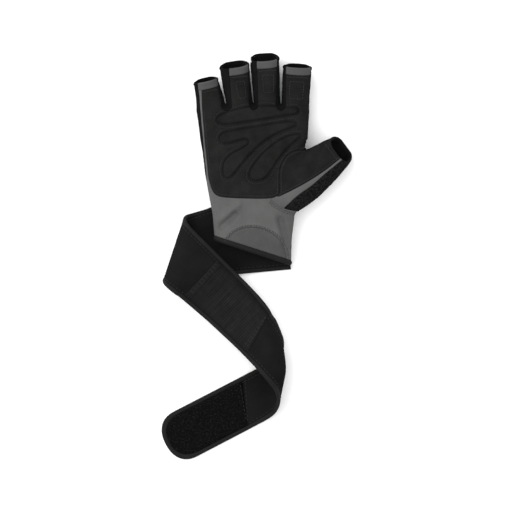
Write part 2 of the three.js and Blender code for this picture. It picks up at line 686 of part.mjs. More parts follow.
function rollAt(frame, u, crease, radius, ease = 0) {
  const origin = [
    frame.origin[0] + (u - frame.u) * frame.ahead[0],
    frame.origin[1] + (u - frame.u) * frame.ahead[1],
  ];
  const fold = plan(crease);
  const flip = dot(frame.ahead, [fold[1], -fold[0]]) > 0 ? 1 : -1;
  const out = [flip * fold[1], -flip * fold[0]];
  const reflect = (v) => [0, 1].map((k) => dot(v, fold) * fold[k] - dot(v, out) * out[k]);
  const rate = dot(frame.ahead, out);
  const skew = -dot(frame.side, out) / rate;
  const next = {
    u,
    origin: [0, 1].map((k) => origin[k] + Math.PI * radius * out[k]),
    ahead: reflect(frame.ahead),
    side: reflect(frame.side),
  };
  return { frame, u, origin, fold, out, radius, ease, rate, skew, length: (Math.PI * radius) / rate, next };
}

const flat = (frame, u, v) =>
  [0, 1].map((k) => frame.origin[k] + (u - frame.u) * frame.ahead[k] + v * frame.side[k]);

// The strap's frames: under the wrist, across to the second crease with a bend, and the tongue
const underFrame = {
  u: 0,
  origin: [0.315 * PALM_WIDTH, STRAP_WIDTH / 2 + STRAP_FOOT],
  ahead: plan(STRAP_HEADING),
  side: plan(STRAP_HEADING + Math.PI / 2),
};
const first = rollAt(underFrame, STRAP_UNDER, FIRST_CREASE, FIRST_ROLL);
const acrossStart = STRAP_UNDER + first.length;
const bendStart = acrossStart + STRAP_BEND_FROM * STRAP_ACROSS;
const bendEnd = acrossStart + STRAP_ACROSS;

function turned(frame, u) {
  const share = clamp((u - bendStart) / (bendEnd - bendStart), 0, 1);
  const angle = STRAP_BEND * share;
  const rotate = ([x, y]) => [
    x * Math.cos(angle) - y * Math.sin(angle),
    x * Math.sin(angle) + y * Math.cos(angle),
  ];
  const radius = (bendEnd - bendStart) / STRAP_BEND;
  const start = flat(frame, bendStart, 0);
  const heading = Math.atan2(frame.ahead[1], frame.ahead[0]);
  const arc = [
    start[0] + radius * (Math.sin(heading + angle) - Math.sin(heading)),
    start[1] - radius * (Math.cos(heading + angle) - Math.cos(heading)),
  ];
  return {
    u: bendStart + share * (bendEnd - bendStart),
    origin: arc,
    ahead: rotate(frame.ahead),
    side: rotate(frame.side),
  };
}

const acrossEnd = bendEnd;
const second = rollAt(
  turned(first.next, acrossEnd), acrossEnd, SECOND_CREASE, SECOND_ROLL, SECOND_EASE,
);
const tongueStart = acrossEnd + second.length;
const strapEnd = tongueStart + STRAP_TONGUE;

function strapWidth(u) {
  const share = Math.max(0, u / strapEnd);
  const next = STRAP_TAPER.findIndex((row, k) => k > 0 && row.at >= share);
  const [low, high] = [STRAP_TAPER[next - 1], STRAP_TAPER[next]];
  const taper = mix(low.width, high.width, (share - low.at) / (high.at - low.at));
  return mix(STRAP_END_WIDTH, STRAP_WIDTH, taper);
}

// Half the strap's width at a distance along it, round at the end
function strapHalf(u, inset) {
  const end = strapEnd - inset;
  const half = strapWidth(u) / 2 - inset;
  const into = clamp((u - (end - TONGUE_ROUND)) / TONGUE_ROUND, 0, 1);
  return half * (1 - into ** 2.6) ** 0.45; // a little fuller than a half circle
}

// How much of a roll's height is left at a distance v across the strap
const rollShare = (roll, v) => 1 - roll.ease * smoothstep(-v, 0, STRAP_END_WIDTH / 2);

// Height of the strap's middle layer between the rolls, which sinks from both towards the middle
function acrossHeight(u, v) {
  const share = (u - acrossStart) / STRAP_ACROSS;
  const nearing = smoothstep(u, second.u - STRAP_SWING, second.u);
  const down = 2 * FIRST_ROLL * (1 - smoothstep(share, 0, STRAP_SAG));
  const up = 2 * SECOND_ROLL * smoothstep(share, 1 - STRAP_SAG, 1);
  return down + up * mix(1, rollShare(second, v), nearing);
}

// A point of the strip's middle layer, on the ruling that crosses its middle line at u
function rulingPoint(u, v) {
  const ground = BINDING_THICKNESS / 2;
  for (const [roll, from, to] of [[first, 0, 2 * FIRST_ROLL], [second, 2 * SECOND_ROLL, 0]]) {
    if (u < roll.u || u > roll.u + roll.length) continue;
    const turn = ((u - roll.u) / roll.length) * Math.PI;
    const shift = dot(roll.frame.side, roll.fold) + roll.skew * dot(roll.frame.ahead, roll.fold);
    const along = (u - roll.u) * dot(roll.frame.ahead, roll.fold) + v * shift;
    const left = rollShare(roll, v);
    const lift = from + ((to - from) * (1 - Math.cos(turn))) / 2;
    const reach = roll.radius * left * Math.sin(turn);
    return [
      roll.origin[0] + along * roll.fold[0] + reach * roll.out[0],
      roll.origin[1] + along * roll.fold[1] + reach * roll.out[1],
      ground + lift * left,
    ];
  }
  if (u < first.u) {
    const swing = smoothstep(u, first.u - 1.4 * STRAP_SWING, first.u);
    return [...flat(underFrame, u + v * first.skew * swing, v), ground];
  }
  if (u < second.u) {
    const leaving = 1 - smoothstep(u, acrossStart, acrossStart + WEBBING_START);
    const nearing = smoothstep(u, second.u - STRAP_SWING, second.u);
    const frame = u < bendStart ? first.next : turned(first.next, u);
    const skew = first.skew * leaving + second.skew * nearing;
    return [...flat(frame, u + v * skew, v), ground + acrossHeight(u, v)];
  }
  const leaving = 1 - smoothstep(u, tongueStart, tongueStart + STRAP_SWING);
  return [...flat(second.next, u + v * second.skew * leaving, v), ground];
}

// Where the strap has a row of corners; every layer of it shares them, so that the layers nest
const webbingFrom = acrossStart + WEBBING_START;
const webbingTo = webbingFrom + WEBBING_LENGTH;
const hookTo = strapEnd - BINDING_WIDTH - SEAM_GAP;
const hookFrom = hookTo - HOOK_LENGTH;
const roundStart = strapEnd - TONGUE_ROUND - BINDING_WIDTH - SEAM_GAP;
const inRoll = (u) =>
  [first, second].some((roll) => u > roll.u - ROW_APART && u < roll.u + roll.length + ROW_APART);
const strapRows = [0, webbingFrom, webbingTo, hookFrom];
for (let u = ROW_STEP; u < roundStart - ROW_APART; u += ROW_STEP) {
  const crowded = [webbingFrom, webbingTo, hookFrom].some((mark) => Math.abs(u - mark) < ROW_APART);
  if (!inRoll(u) && !crowded) strapRows.push(u);
}
for (const roll of [first, second]) {
  for (let k = 0; k <= ROLL_STEPS; k++) strapRows.push(roll.u + (roll.length * k) / ROLL_STEPS);
}
for (let k = 0; k <= ROUND_STEPS; k++) {
  strapRows.push(mix(roundStart, strapEnd, Math.sin((Math.PI * k) / (2 * ROUND_STEPS + 0.5))));
}

// The direction out of the strap's inner face, which is square to its ruling and to its run
function strapNormal(u) {
  const before = new THREE.Vector3(...rulingPoint(Math.max(0, u - 0.5), 0));
  const after = new THREE.Vector3(...rulingPoint(u + 0.5, 0));
  const right = new THREE.Vector3(...rulingPoint(u, -1));
  const left = new THREE.Vector3(...rulingPoint(u, 1));
  return new THREE.Vector3().crossVectors(after.sub(before), left.sub(right)).normalize();
}

// A strip of the strap between two distances, between two layers, drawn in from its edges
function strapSolid(from, to, bottom, top, inset) {
  const inside = strapRows.filter((u) => u > from + 0.3 && u < to - 0.3);
  const rows = [from, ...inside, to].sort((a, b) => a - b);
  return loft(
    rows.map((u) => {
      const half = Math.max(0.5, strapHalf(Math.min(u, strapEnd - inset - 0.05), inset));
      const left = new THREE.Vector3(...rulingPoint(u, half));
      const right = new THREE.Vector3(...rulingPoint(u, -half));
      const normal = strapNormal(u);
      return [[left, top], [left, bottom], [right, bottom], [right, top]].map(([p, offset]) =>
        p.clone().addScaledVector(normal, offset).toArray(),
      );
    }),
  );
}

const bandInset = BINDING_WIDTH + SEAM_GAP;
const bandHalf = STRAP_THICKNESS / 2;
const bindingHalf = BINDING_THICKNESS / 2;
add("strap_band", strapSolid(0, strapEnd - bandInset, -bandHalf, bandHalf, bandInset), COLOURS.strap);

// The binding runs along one edge of the strap, round the tongue and back along the other edge
function bindingRing(u, side) {
  const share = clamp((u - roundStart) / (strapEnd - roundStart), 0, 1);
  const innerU = Math.min(u, mix(roundStart, strapEnd - BINDING_WIDTH, share));
  const outer = new THREE.Vector3(...rulingPoint(u, side * strapHalf(u, 0)));
  const inner = new THREE.Vector3(...rulingPoint(innerU, side * strapHalf(innerU, BINDING_WIDTH)));
  const normal = strapNormal(u);
  return [[outer, 1], [inner, 1], [inner, -1], [outer, -1]].map(([p, face]) =>
    p.clone().addScaledVector(normal, face * bindingHalf).toArray(),
  );
}
const bindingRows = [...strapRows].sort((p, q) => p - q);
const bindingPath = [
  ...bindingRows.map((u) => bindingRing(u, 1)),
  bindingRing(strapEnd, 1),
  ...bindingRows.reverse().map((u) => bindingRing(u, -1)),
];
add("strap_binding", loft(bindingPath), COLOURS.binding);
const faceGap = bandHalf + CLEARANCE;
const webbing = strapSolid(webbingFrom, webbingTo, -faceGap, -faceGap - WEBBING_THICKNESS, bandInset);
add("elastic_webbing", webbing, COLOURS.webbing);
const hookPad = strapSolid(hookFrom, hookTo, faceGap, faceGap + HOOK_THICKNESS, bandInset);
add("hook_pad", hookPad, COLOURS.hook);

// The middle of the whole thing's underside becomes the origin
group.updateMatrixWorld(true);
const box = new THREE.Box3().setFromObject(group);
const centre = box.getCenter(new THREE.Vector3());
group.position.set(-centre.x, -centre.y, -box.min.z);

export default group;
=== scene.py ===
"""Dresses a fingerless weightlifting glove that lies palm up with its wrist strap beside it.

Sizes inside the shape functions are millimetres in the glove's own plan: X towards the thumb,
Y from the wrist line towards the fingers, Z up from the table. Pieces are placed in the frame's
metres when their meshes are made.
"""

import math
from functools import cache

import bpy
import numpy as np
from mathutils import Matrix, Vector
from mathutils.bvhtree import BVHTree
from mathutils.kdtree import KDTree


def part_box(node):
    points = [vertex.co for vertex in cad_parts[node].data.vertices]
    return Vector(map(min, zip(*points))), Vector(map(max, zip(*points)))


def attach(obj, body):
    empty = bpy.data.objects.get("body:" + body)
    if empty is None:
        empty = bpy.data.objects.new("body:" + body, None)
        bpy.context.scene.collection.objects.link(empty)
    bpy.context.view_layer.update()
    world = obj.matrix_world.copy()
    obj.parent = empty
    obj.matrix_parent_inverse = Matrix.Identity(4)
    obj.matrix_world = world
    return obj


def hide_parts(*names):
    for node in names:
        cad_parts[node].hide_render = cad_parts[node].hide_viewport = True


bl_info = {
    "name": "Weightlifting glove",
    "version": (1, 0, 0),
    "blender": (4, 5, 0),
    "location": "View3D > Sidebar > Glove",
    "description": "Leather, cloth, pads, seams and strap of a fingerless weightlifting glove",
    "category": "Object",
}

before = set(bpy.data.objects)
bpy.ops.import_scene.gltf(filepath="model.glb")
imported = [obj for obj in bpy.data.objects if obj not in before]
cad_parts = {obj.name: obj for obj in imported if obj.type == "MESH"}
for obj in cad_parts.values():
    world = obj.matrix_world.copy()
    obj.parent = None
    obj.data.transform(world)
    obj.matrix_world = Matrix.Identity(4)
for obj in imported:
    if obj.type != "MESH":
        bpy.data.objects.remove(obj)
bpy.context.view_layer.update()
FINE = 0.85  # mm between the corners of the cloth
STRAP_STEP = 1.2  # mm between the rings of the strap

# Numbers of the glove's form, in mm unless said
SQUARENESS = 2.5  # power of the rounded sections
FLATTENING = 1.12  # by which an underside would pass its flat base
FAR = 400.0  # well past the glove
CUFF_HALF = 0.35  # half the cuff's width, as a share of the palm's
SEAT_GAP = 0.3  # from the strap's top to the cuff over it
THUMB_OPEN = (0.799, 0.731)  # middle of the thumb's opening, in shares of the palm
THUMB_SLANT = math.radians(25)  # of that opening
FINGER_GAP = 0.42  # from a finger to the middle between it and the next
FINGER_FILLET, THUMB_FILLET = 2.5, 4  # where they grow out of the palm
RIM_ROUNDING = 1.9  # by which a finger opening's lower corners are drawn in
PAD_FOOT = 0.62  # depth of a pad under the leather

# Numbers of the strap, in mm or as shares
STRAP_START = 0.315  # from the palm's middle to the strap's start, by the palm's width
STRAP_FOOT = 1.5  # wrist line to the strap's near edge
STRAP_SWING = 29.0  # over which a ruling swings from square to a crease's direction
STRAP_ROUND = 22.0  # length of its rounded end
EDGE_GAP = 0.3  # between its binding and what lies inside it
BEND_FROM = 0.45  # where the bend starts in the stretch between the rolls
SAG = 0.75  # the part of that stretch over which it sinks from a roll
LOWERED = 0.42  # by which the second roll is lower on its inner side
RIB_PITCH = 1.5  # of the elastic
BAND_SWELL = 0.2  # by which the band is thicker in its middle

# Thread: radii, length and gap of the strap's stitches, a strand's sides and its lift off the
# cloth, the steepest drop under one, and its rings as share of length, width and height
THICK_THREAD, THIN_THREAD = 0.27, 0.22
STRAP_STITCH = (2.4, 1.2)
STRAND_SIDES = 5
THREAD_LIFT = 0.06
STEEPEST = 2.5
STRAND = ((0, 0.35, -0.5), (0.14, 0.85, 0.1), (0.5, 1, 0.45), (0.86, 0.85, 0.1),
          (1, 0.35, -0.5))

# The stage, in metres: each light's place, power in watts and size, and the camera
LIGHTS = (
    ("key", (-0.9, 0.55, 0.95), 24, 1.8),
    ("fill", (0.9, -0.4, 1.2), 4, 0.9),
    ("top", (0.0, 0.0, 1.9), 5, 1.2),
)
EYE_HEIGHT = 2.6
PIXEL = 0.0009  # on the table, across one pixel of the picture
AIM = (0.0028, 0.01405, 0)  # from the middle of the wrist line

# Places and widths as shares of the named sizes, from the wrist to the knuckles
PALM = (
    ("along", "left", "right", "top", "base"),
    (-0.06, 0.345, 0.345, 0.7, 1),
    (0.19, 0.35, 0.356, 0.78, 1),
    (0.34, 0.365, 0.38, 0.86, 1),
    (0.45, 0.397, 0.41, 0.94, 1),
    (0.6, 0.436, 0.44, 1, 0),
    (0.7, 0.454, 0.465, 1, 0),
    (0.8, 0.477, 0.487, 0.96, 0),
    (0.91, 0.498, 0.499, 0.9, 0),
    (0.97, 0.51, 0.506, 0.82, 0.3),
    (1.005, 0.5, 0.49, 0.6, 1),
)
# Along a finger from the crotch line to the opening
FINGER_FORM = (
    ("along", "width", "lift", "depth"),
    (-1.2, -0.1, 0, 0),
    (-0.35, 0, 0.02, 0),
    (0.1, 0.1, 0.15, 0.3),
    (0.55, 0.65, 0.5, 0.7),
    (1, 1, 1, 1),
    (1.6, 1.6, 1.9, 1),
)
# Along the thumb, back from its opening
THUMB_FORM = (
    ("along", "low", "high", "lift", "depth"),
    (-1.2, 0.5, 0.62, 0.6, 0.8),
    (-1.0, 0.79, 0.78, 0.5, 1.08),
    (-0.72, 0.81, 0.78, 0, 1.24),
    (-0.45, 0.735, 0.7, 0.12, 1.18),
    (-0.26, 0.655, 0.63, 0.4, 1.1),
    (-0.1, 0.56, 0.56, 0.75, 1.04),
    (0, 0.5, 0.51, 1, 1),
    (0.2, 0.5, 0.51, 1, 1),
)
# Fingers: middle at the crotch line and at the opening, width at the root, slant of the opening,
# and the sides of the leather front at the root and at the opening
FINGERS = (
    dict(name="pinky", root=-0.379, tip=-0.429, root_width=1.18, slant=17,
         front_root=(-1.5, 0.76), front_tip=(-1.5, 0.98)),
    dict(name="ring", root=-0.119, tip=-0.169, root_width=0.88, slant=21,
         front_root=(-0.64, 0.79), front_tip=(-0.37, 0.97)),
    dict(name="middle", root=0.131, tip=0.105, root_width=0.89, slant=23,
         front_root=(-0.75, 0.73), front_tip=(-0.54, 0.87)),
    dict(name="index", root=0.384, tip=0.404, root_width=0.98, slant=16,
         front_root=(-0.72, 1.5), front_tip=(-0.82, 1.5)),
)
# Outlines seen from above, as shares of the palm's width and length
LEATHER_EDGE = (
    (-0.466, 1.1), (-0.463, 0.97), (-0.45, 0.86), (-0.438, 0.76), (-0.42, 0.65), (-0.406, 0.56),
    (-0.386, 0.51), (-0.355, 0.47), (-0.31, 0.45), (-0.247, 0.443), (-0.06, 0.437),
    (0.137, 0.437), (0.2, 0.444), (0.235, 0.462),
)
THUMB_SEAM = (
    (0.235, 0.462), (0.242, 0.5), (0.238, 0.55), (0.243, 0.6), (0.268, 0.655), (0.315, 0.7),
    (0.384, 0.723), (0.47, 0.731),
)
THUMB_FOOT = (
    (0.165, 0.43), (0.18, 0.42), (0.218, 0.4), (0.276, 0.38), (0.33, 0.368), (0.41, 0.357),
)
KNUCKLE_PAD = (
    (-0.33, 0.905), (-0.3, 0.93), (-0.25, 0.948), (-0.13, 0.972), (0.02, 0.988), (0.155, 0.989),
    (0.3, 0.98), (0.4, 0.976), (0.405, 0.952), (0.23, 0.928), (0.03, 0.906), (-0.16, 0.887),
    (-0.28, 0.884),
)
PALM_PAD = (
    (-0.3, 0.79), (-0.28, 0.822), (-0.165, 0.843), (0.03, 0.865), (0.23, 0.887), (0.36, 0.895),
    (0.393, 0.88), (0.33, 0.858), (0.19, 0.818), (0.075, 0.767), (-0.037, 0.696),
    (-0.13, 0.622), (-0.205, 0.565), (-0.245, 0.56), (-0.268, 0.6), (-0.255, 0.655),
    (-0.2, 0.697), (-0.1, 0.735), (-0.037, 0.765), (-0.045, 0.79), (-0.1, 0.79), (-0.2, 0.77),
    (-0.268, 0.768),
)
THUMB_SIDE_PAD = (
    (0.434, 0.818), (0.34, 0.813), (0.228, 0.777), (0.114, 0.718), (0.016, 0.643),
    (-0.028, 0.586), (-0.015, 0.552), (0.045, 0.545), (0.107, 0.562), (0.164, 0.607),
    (0.22, 0.667), (0.297, 0.731), (0.38, 0.782),
)
# The grey strip in the thumb's own shares, along it from the opening and across
STRIP_UPPER = (
    (-1.1, -0.04), (-0.9, -0.13), (-0.64, -0.21), (-0.4, -0.25), (-0.15, -0.24), (0.3, -0.2),
)
STRIP_LOWER = (
    (-1.2, -0.46), (-0.88, -0.375), (-0.64, -0.385), (-0.4, -0.335), (-0.15, -0.31),
    (0.3, -0.27),
)
# Width of the strap between its end's, 0, and that at the wrist, 1, by the share of its length
STRAP_TAPER = (
    ("at", "width"),
    (0, 0.97),
    (0.12, 0.89),
    (0.18, 1.16),
    (0.24, 0.66),
    (0.3, 0.52),
    (0.37, 0.34),
    (0.5, 0.14),
    (0.57, -0.2),
    (0.63, -0.3),
    (0.7, 0),
    (1.01, 0.04),
)
# Folds of the cloth: both ends in mm, height, and half-width
CUFF_FOLDS = (
    ((-28, 40), (-16, 51), -3.4, 2.7),
    ((-27, 47), (-12, 60), 1.9, 3.2),
    ((25, 46), (31, 22), -3.6, 2.9),
    ((19, 48), (25, 27), 1.6, 3.0),
    ((-12, 62), (14, 44), 0.9, 6.0),
)
THUMB_FOLDS = (
    ((38, 100), (52, 113), -0.7, 2.2),
    ((58, 116), (63, 104), -0.6, 2.0),
    ((35, 86), (47, 96), 0.6, 3.5),
)
PALM_FOLDS = (
    ((46, 113), (29, 98), -1.1, 1.8),
    ((29, 98), (17, 84), -0.9, 1.8),
    ((-22, 140), (-12, 146), -0.7, 2.0),
    ((6, 143), (18, 146), -0.7, 2.0),
    ((32, 143), (46, 146), -0.6, 2.0),
)


def length_of(name, description, *default):
    """A length, or several together, in metres."""
    if len(default) == 1:
        return bpy.props.FloatProperty(
            name=name, description=description, default=default[0], unit="LENGTH")
    return bpy.props.FloatVectorProperty(
        name=name, description=description, default=default, size=len(default), unit="LENGTH")


def angle_of(name, description, degrees):
    return bpy.props.FloatProperty(
        name=name, description=description, default=math.radians(degrees), subtype="ANGLE")


def colour_of(name, description, *default):
    return bpy.props.FloatVectorProperty(
        name=name, description=description, default=default, size=3, subtype="COLOR", min=0,
        max=1)


class GloveSizes(bpy.types.PropertyGroup):
    """Lengths and angles that set the glove's shape."""

    palm_width: length_of("Palm width", "Across the knuckles", 0.0985)
    palm_length: length_of("Palm length", "Wrist line to the finger crotches", 0.149)
    palm_depth: length_of("Palm depth", "Table to the top of the palm", 0.033)
    cuff_left: length_of("Cuff, little-finger side", "Wrist line to the cuff's edge", 0.028)
    cuff_right: length_of("Cuff, thumb side", "Wrist line to the cuff's edge", 0.006)
    moon: length_of("Half-moon", "Width and height of the half-moon insert", 0.056, 0.022)
    finger_lengths: length_of("Finger lengths", "Crotch line to opening, little finger to index",
                              0.022, 0.0355, 0.042, 0.0345)
    finger_widths: length_of("Finger widths", "Width of each opening, little finger to index",
                             0.022, 0.0266, 0.0262, 0.0256)
    finger_depths: length_of("Finger depths", "Depth of each opening, little finger to index",
                             0.019, 0.021, 0.0215, 0.020)
    finger_rise: length_of("Finger rise", "Lift of the fingertips off the table", 0.011)
    finger_root_depth: length_of("Finger root depth", "Depth of a finger at its root", 0.027)
    thumb: length_of("Thumb", "Length, width and depth of the thumb", 0.063, 0.027, 0.025)
    thumb_rise: length_of("Thumb rise", "Lift of the thumb's end", 0.008)
    thumb_angle: angle_of("Thumb angle", "Thumb's direction from straight across the palm", 36.4)
    wall: length_of("Wall", "Thickness of cloth and leather", 0.0018)
    pad_thickness: length_of("Pad thickness", "Height of a pad's crown over the leather", 0.0021)
    band_width: length_of("Finger band", "Width of the grey band at a finger's opening", 0.006)
    hem_width: length_of("Rolled hem", "Width of the hems of the openings", 0.003)
    wrist_hem_width: length_of("Wrist hem", "Width of the cuff's bound edge", 0.004)


class StrapSizes(bpy.types.PropertyGroup):
    """Lengths and angles of the wrist strap."""

    width: length_of("Width", "Width at the wrist", 0.063)
    end_width: length_of("End width", "Width at the tongue", 0.045)
    thickness: length_of("Thickness", "Thickness of the padded band", 0.0024)
    under: length_of("Under the wrist", "Wrist to the first crease", 0.0895)
    across: length_of("Across", "First roll to the second crease", 0.11)
    tongue: length_of("Tongue", "Second roll to the round end", 0.0955)
    heading: angle_of("Heading", "Direction in which the strap leaves the wrist", 186)
    first_crease: angle_of("First crease", "Direction of the first crease", 251.6)
    second_crease: angle_of("Second crease", "Direction of the second crease", 258.4)
    rolls: length_of("Rolls", "Radii of the two rolls", 0.0103, 0.0174)
    bend: angle_of("Bend", "Turn in the strap's own plane between the rolls", -7.8)
    binding: length_of("Binding", "Width and thickness of the bound edge", 0.004, 0.0032)
    webbing: length_of("Elastic", "Start after the first roll, and length, of the elastic",
                       0.022, 0.072)
    hook_length: length_of("Hook pad", "Length of the hook pad on the tongue", 0.076)


class GloveColours(bpy.types.PropertyGroup):
    """Main colour of each finish."""

    leather: colour_of("Leather", "Suede-like palm", 0.0102, 0.0102, 0.01)
    grey: colour_of("Cuff", "Grey stretch cloth", 0.079, 0.079, 0.078)
    moon: colour_of("Half-moon", "Darker grey cloth of the half-moon", 0.06, 0.06, 0.0593)
    band: colour_of("Finger bands", "Grey bands at the finger openings", 0.061, 0.061, 0.061)
    stretch: colour_of("Black stretch cloth", "Back of the hand and gussets",
                       0.006, 0.006, 0.0063)
    towel: colour_of("Towelling", "Looped panel of the thumb", 0.0085, 0.0085, 0.0085)
    binding: colour_of("Binding", "Woven tape of the bound edges", 0.0095, 0.0095, 0.0092)
    strap: colour_of("Strap", "Brushed cloth of the strap", 0.0074, 0.0074, 0.0075)
    elastic: colour_of("Elastic", "Ribbed elastic of the strap", 0.0096, 0.0096, 0.0099)
    hook: colour_of("Hook pad", "Hook tape of the tongue", 0.0066, 0.0066, 0.0067)
    thread: colour_of("Thread", "Sewing thread", 0.026, 0.026, 0.028)


# Numbers and lines

def mix(a, b, share):
    return a + (b - a) * share


def ease(value, low, high):
    share = np.clip((value - low) / (high - low), 0, 1)
    return share * share * (3 - 2 * share)


def column(table, name, place):
    """A column of a table at a place, on a smooth curve through the rows that never overshoots."""
    rows = np.array(table[1:], float)
    x, y = rows[:, 0], rows[:, table[0].index(name)]
    step = np.diff(x)
    rate = np.diff(y) / step
    both = rate[1:] * rate[:-1]
    slope = np.concatenate([[rate[0]], np.zeros(len(x) - 2), [rate[-1]]])
    total = np.where(both > 0, rate[1:] + rate[:-1], 1)
    slope[1:-1] = np.where(both > 0, 2 * both / total, 0)
    k = np.clip(np.searchsorted(x, place) - 1, 0, len(step) - 1)
    t = np.clip((place - x[k]) / step[k], 0, 1)
    return (
        (1 + 2 * t) * (1 - t) ** 2 * y[k]
        + t * (1 - t) ** 2 * step[k] * slope[k]
        + t * t * (3 - 2 * t) * y[k + 1]
        + t * t * (t - 1) * step[k] * slope[k + 1]
    )


def smooth_line(points, closed, count):
    """A smooth line through points, cut into equal steps."""
    points = np.array(points, float)
    if closed:
        ring = np.vstack([points[-1:], points, points[:2]])
    else:
        ring = np.vstack([2 * points[0] - points[1], points, 2 * points[-1] - points[-2]])
    line = []
    for a, b, c, d in zip(ring, ring[1:], ring[2:], ring[3:]):
        ab, bc, cd = (max(1e-6, np.linalg.norm(q - p)) ** 0.5 for p, q in ((a, b), (b, c), (c, d)))
        start = ((b - a) / ab - (c - a) / (ab + bc) + (c - b) / bc) * bc
        end = ((c - b) / bc - (d - b) / (bc + cd) + (d - c) / cd) * bc
        t = np.linspace(0, 1, 12, endpoint=False)[:, None]
        line.append(
            (2 * t**3 - 3 * t**2 + 1) * b + (t**3 - 2 * t**2 + t) * start
            + (3 * t**2 - 2 * t**3) * c + (t**3 - t**2) * end
        )
    line.append(points[:1] if closed else points[-1:])
    return even(np.vstack(line), count)


def even(line, count):
    """A line of points cut into equal steps."""
    line = np.array(line, float)
    run = np.concatenate([[0], np.cumsum(np.linalg.norm(np.diff(line, axis=0), axis=1))])
    at = np.linspace(0, run[-1], count + 1)
    return np.stack([np.interp(at, run, line[:, k]) for k in range(line.shape[1])], axis=1)


def outline_distance(points, outline):
    """Distance in plan to a closed outline, negative inside it."""
    outline = np.array(outline, float)[:, :2]
    outline = np.vstack([outline, outline[:1]])
    inside = np.zeros(len(points), bool)
    x, y = points[:, 0], points[:, 1]
    for (ax, ay), (bx, by) in zip(outline, outline[1:]):
        if by != ay:
            inside ^= ((ay > y) != (by > y)) & (x < ax + (y - ay) * (bx - ax) / (by - ay))
    return np.where(inside, -1, 1) * line_distance(points, outline)


def line_distance(points, line):
    """Distance in plan to an open line."""
    line = np.array(line, float)[:, :2]
    nearest = np.full(len(points), 1e9)
    x, y = points[:, 0], points[:, 1]
    for (ax, ay), (bx, by) in zip(line, line[1:]):
        dx, dy = bx - ax, by - ay
        t = np.clip(((x - ax) * dx + (y - ay) * dy) / max(1e-12, dx * dx + dy * dy), 0, 1)
        nearest = np.minimum(nearest, (x - ax - t * dx) ** 2 + (y - ay - t * dy) ** 2)
    return np.sqrt(nearest)


def moved_line(line, distance):
    """A line moved to its left by a distance."""
    line = np.array(line, float)
    ahead = np.gradient(line[:, :2], axis=0)
    ahead /= np.linalg.norm(ahead, axis=1)[:, None] + 1e-9
    out = line.copy()
    out[:, 0] -= ahead[:, 1] * distance
    out[:, 1] += ahead[:, 0] * distance
    return out


def calmed(line):
    """A line with its small kinks smoothed out, its ends kept."""
    line = line.copy()
    for _ in range(40):
        line[1:-1] += 0.5 * ((line[:-2] + line[2:]) / 2 - line[1:-1])
    return line


def ripple(points, size, seed):
    """Soft unevenness between -1 and 1, about one swell in each stretch of the given size."""
    rng = np.random.default_rng(seed)
    total = np.zeros(len(points))
    for _ in range(7):
        way = rng.normal(size=3)
        way /= np.linalg.norm(way)
        total += np.sin(points @ way * (2 * math.pi / size) * rng.uniform(0.6, 1.5)
                        + rng.uniform(0, 6.28))
    return total / 3.2


# Sheets of cloth: corners, the directions out of them, and triangles

def surface_net(values, low, step):
    """The surface where a grid of values passes zero, with a corner in each cell it crosses."""
    inside = values < 0
    cells = np.array(values.shape) - 1
    ids, spots, quads = [], [], []
    for axis in range(3):
        at = np.argwhere(np.diff(inside, axis=axis))
        ahead, b, c = np.roll(np.eye(3, dtype=int), -axis, axis=0)
        start, end = values[tuple(at.T)], values[tuple((at + ahead).T)]
        spot = at.astype(float)
        spot[:, axis] += start / (start - end)
        ring = [at - b - c, at - c, at, at - b]
        whole = np.all([np.all((r >= 0) & (r < cells), axis=1) for r in ring], axis=0)
        numbers = [np.ravel_multi_index(tuple(r[whole].T), tuple(cells)) for r in ring]
        for n in numbers:
            ids.append(n)
            spots.append(spot[whole])
        quad = np.stack(numbers, axis=1)
        flip = ~inside[tuple(at[whole].T)]
        quad[flip] = quad[flip][:, ::-1]
        quads.append(quad)
    ids, spots, quads = np.concatenate(ids), np.concatenate(spots), np.concatenate(quads)
    used, where = np.unique(ids, return_inverse=True)
    count = np.bincount(where)
    points = np.stack([np.bincount(where, spots[:, k]) / count for k in range(3)], axis=1)
    quads = np.searchsorted(used, quads)
    return points * step + low, quads


def split(quads):
    return np.concatenate([quads[:, [0, 1, 2]], quads[:, [0, 2, 3]]])


def directions(points, triangles):
    """The direction out of a surface at each corner."""
    a, b, c = (points[triangles[:, k]] for k in range(3))
    face = np.cross(b - a, c - a)
    out = np.zeros_like(points)
    for k in range(3):
        for axis in range(3):
            out[:, axis] += np.bincount(triangles[:, k], face[:, axis], len(points))
    return out / (np.linalg.norm(out, axis=1)[:, None] + 1e-12)


def relaxed(points, quads, rounds):
    """Evens out a surface without drawing it in."""
    edges = np.concatenate([quads[:, [k, (k + 1) % 4]] for k in range(4)])
    count = np.bincount(edges[:, 0], minlength=len(points))[:, None] + 1e-9
    for turn in range(rounds):
        total = np.stack(
            [np.bincount(edges[:, 0], points[edges[:, 1], k], len(points)) for k in range(3)],
            axis=1)
        points = points + (0.5 if turn % 2 == 0 else -0.52) * (total / count - points)
    return points


